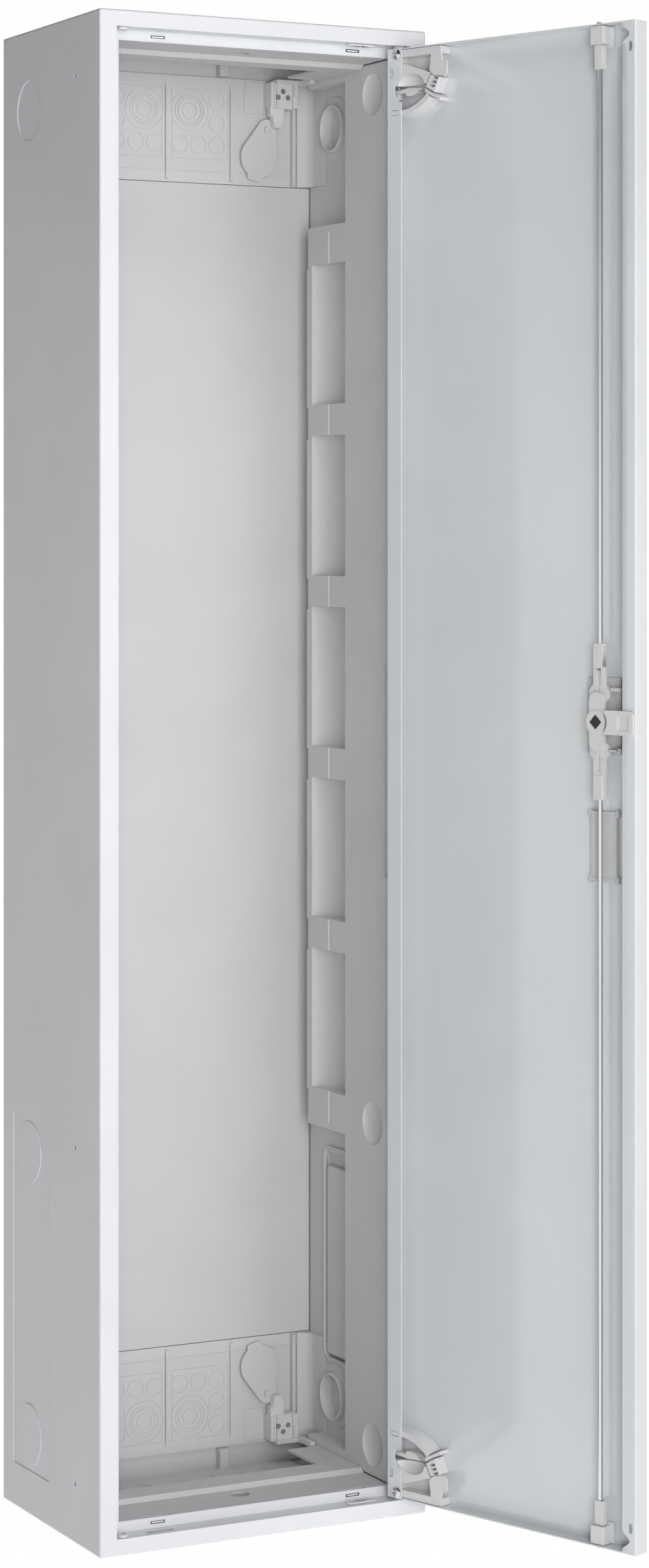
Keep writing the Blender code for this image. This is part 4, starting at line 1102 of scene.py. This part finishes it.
def make_rod_set(end, level):
    """Link, rod and bolt end of one half of the rod lock, and the guide that it runs in."""
    refine(f"rod_link_{level}", rod_link_shape(end))

    reach = tuple(sorted((LOCK_Z + end * 48, end * 583.0)))
    rod = cylinder("Z", (LOCK_X, ROD_Y, reach), ROD_RADIUS, 32)
    refine(f"lock_rod_{level}", rod)

    body = soften(block(around(LOCK_X, 4), around(ROD_Y, 2.9), pair(end, 572.6, 592)), 0.4)
    neck = soften(block(around(LOCK_X, 3.4), around(ROD_Y, 2.2), pair(end, 591, 605.5)), 0.3)
    wedge = [(2.5, 604), (2.5, 610.8), (0.5, 610.8), (-2.5, 607), (-2.5, 604)]
    wedge = [(LOCK_X + x, end * z) for x, z in wedge]
    bm = join(body, neck, soften(prism("Y", wedge, around(ROD_Y, 2)), 0.3))
    notch = block(around(LOCK_X + 2.2, 1.0), (ROD_Y + 2.4, 9), pair(end, 576.2, 579))
    bore = cylinder("Z", (LOCK_X, ROD_Y, pair(end, 570, 583.4)), ROD_RADIUS + BORE, 24)
    refine(f"rod_end_{level}", cut(bm, notch, bore))

    guide = block(around(LOCK_X, 6.5), (ON_LEAF, 8.2), pair(end, 592.4, 607))
    guide = join(guide, block(around(LOCK_X, 9.5), (ON_LEAF, INNER_FACE + 2), pair(end, 590, 607)))
    bore = block(around(LOCK_X, 4.4), around(ROD_Y, 3.2), pair(end, 588, 609))
    refine(f"rod_guide_{level}", cut(soften(guide, 0.5, 3), bore))


def make_grip_dish():
    """Shallow finger pull set into the door's face, held by a clip at each end."""
    rim = (DOOR_FACE - 1.1, DOOR_FACE - GAP)
    bm = soften(prism("Y", rounded(around(LOCK_X, 15.5), (-78, -21), 3), rim), 0.35)
    shell = prism("Y", rounded(around(LOCK_X, 13), (-75, -24), 2.5), (DOOR_FACE - 0.8, -0.5))
    bm = join(bm, soften(shell, 0.4))
    clips = bmesh.new()
    for z in (-76.2, -22.8):
        add_block(clips, around(LOCK_X, 12.2), (ON_LEAF, 0.0), around(z, 1.5))
        for side in (1, -1):
            add_block(clips, around(LOCK_X + side * 13.8, 1.4), (ON_LEAF, -0.4), around(z, 3))
    bm = join(bm, soften(clips, 0.3))
    dish = prism("Y", rounded(around(LOCK_X, 11.8), (-73.8, -25.2), 3), (DOOR_FACE - 3, -1.7))
    refine("grip_dish", cut(bm, soften(dish, 0.8, 3)))


def make_cabinet():
    make_outer_casing()
    make_hinge_bushings()
    make_slot_plugs()
    make_spring_clips()
    for side, hand in SIDES:
        make_side_liner(side, hand)
    for end, level in ENDS:
        make_rear_insert(end, level)
        make_tray(end, level)
        make_flange_plate(end, level)
        make_entry_lining(end, level)
        for side, hand in SIDES:
            make_wall_flap(end, side, level, hand)
            make_corner_bracket(end, side, level, hand)


def make_door():
    make_door_leaf()
    make_lock_plate()
    make_lock_bush()
    make_square_insert()
    make_lock_cam()
    make_latch_bolt()
    make_grip_dish()
    for end, level in ENDS:
        make_hinge_bracket(end, level)
        make_hinge_pin(end, level)
        make_release_lever(end, level)
        make_hinge_screw(end, level)
        make_rod_set(end, level)


# ---- camera, light and stage


def add_camera():
    data = bpy.data.cameras.new("camera")
    data.lens = 82.18
    data.sensor_width = 36.0
    data.shift_y = -0.1571
    data.dof.use_dof = False
    camera = new_object("camera", data)
    camera.location = (-1.3108, -2.8509, 0.1979)
    camera.rotation_euler = (math.radians(90), 0, math.radians(-27.28))
    bpy.context.scene.camera = camera


def add_area(name, location, target, size, power):
    data = bpy.data.lights.new(name, "AREA")
    data.shape = "RECTANGLE"
    data.size, data.size_y = size
    data.energy = power
    light = new_object(name, data)
    light.location = location
    aim = Vector(target) - Vector(location)
    light.rotation_euler = aim.to_track_quat("-Z", "Y").to_euler()
    light.visible_camera = False
    light.visible_glossy = False


def add_lights():
    """A broad key light beside the camera, and weaker ones from the front right, above and behind."""
    add_area("key_light", (-1.25, -4.2, 0.2), (0, -0.1, 0), (1.6, 2.4), 100)
    add_area("front_light", (1.1, -4.3, 0.2), (0, -0.1, 0), (1.6, 2.4), 40)
    add_area("top_light", (-0.3, -1.8, 2.5), (0, -0.15, -0.6), (1.2, 1.2), 18)
    add_area("back_light", (1.6, 3.2, 0.6), (0, 0, 0), (1.6, 2.4), 60)


def mix_shaders(tree, factor, first, second):
    """The first shader where the factor is 0, and the second where it is 1."""
    mix = tree.nodes.new("ShaderNodeMixShader")
    tree.links.new(factor, mix.inputs["Fac"])
    tree.links.new(first, mix.inputs[1])
    tree.links.new(second, mix.inputs[2])
    return mix.outputs["Shader"]


def add_background(tree, strength=1.0):
    node = tree.nodes.new("ShaderNodeBackground")
    set_inputs(node, {"Color": WHITE, "Strength": strength})
    return node


def make_world():
    """White surround for the camera, and for reflections one that dims upwards and on one side.

    It gives no light of its own: that comes from the lights and the floor.
    """
    world = bpy.data.worlds.new("studio")
    world.use_nodes = True
    tree = world.node_tree
    path = tree.nodes.new("ShaderNodeLightPath")
    direction = tree.nodes.new("ShaderNodeTexCoord").outputs["Generated"]
    split = tree.nodes.new("ShaderNodeSeparateXYZ")
    tree.links.new(direction, split.inputs["Vector"])
    upwards = add_range(tree, split.outputs["Z"], 1.0, 0.05, 0.0, 0.2)
    facing = tree.nodes.new("ShaderNodeVectorMath")
    facing.operation = "DOT_PRODUCT"
    facing.inputs[1].default_value = DIM_SIDE
    tree.links.new(direction, facing.inputs[0])
    sideways = add_range(tree, facing.outputs["Value"], 1.0, 0.06, 0.62, 0.75)
    strength = tree.nodes.new("ShaderNodeMath")
    strength.operation = "MULTIPLY"
    tree.links.new(upwards, strength.inputs[0])
    tree.links.new(sideways, strength.inputs[1])
    reflected = add_background(tree)
    tree.links.new(strength.outputs["Value"], reflected.inputs["Strength"])

    unlit = add_background(tree, 0.0).outputs["Background"]
    backdrop = add_background(tree).outputs["Background"]
    seen = mix_shaders(tree, path.outputs["Is Glossy Ray"], unlit, reflected.outputs["Background"])
    seen = mix_shaders(tree, path.outputs["Is Camera Ray"], seen, backdrop)
    tree.links.new(seen, tree.nodes["World Output"].inputs["Surface"])
    bpy.context.scene.world = world


def make_floor():
    """Pale floor that lights the cabinet softly from below, and that the camera sees as white."""
    material = bpy.data.materials.new("floor_paper")
    material.use_nodes = True
    tree = material.node_tree
    shader = tree.nodes["Principled BSDF"]
    path = tree.nodes.new("ShaderNodeLightPath")
    paper = tree.nodes.new("ShaderNodeEmission")
    set_inputs(paper, {"Color": WHITE})
    seen = mix_shaders(
        tree, path.outputs["Is Camera Ray"], shader.outputs["BSDF"], paper.outputs["Emission"]
    )
    tree.links.new(seen, tree.nodes["Material Output"].inputs["Surface"])
    matt = {"Base Color": (0.9, 0.9, 0.9, 1), "Roughness": 0.9, "Specular IOR Level": 0.1}
    set_inputs(shader, {**matt, "Emission Color": WHITE, "Emission Strength": 0.44})
    bm = bmesh.new()
    level = cad_bounds[0][2] - 0.12
    bmesh.ops.create_grid(bm, size=12, matrix=Matrix.Translation((0, 0, level)))
    floor = mesh_object("floor", bm)
    floor.data.materials.append(material)
    floor.visible_glossy = False


# ---- assembly

LOOKS = make_looks()
for node, obj in frame["nodes"].items():
    obj.data.materials.clear()
    obj.data.materials.append(LOOKS[SLOT_OF[node]])

make_cabinet()
make_door()
add_camera()
add_lights()
make_world()
make_floor()
bpy.context.scene.view_settings.view_transform = "Standard"
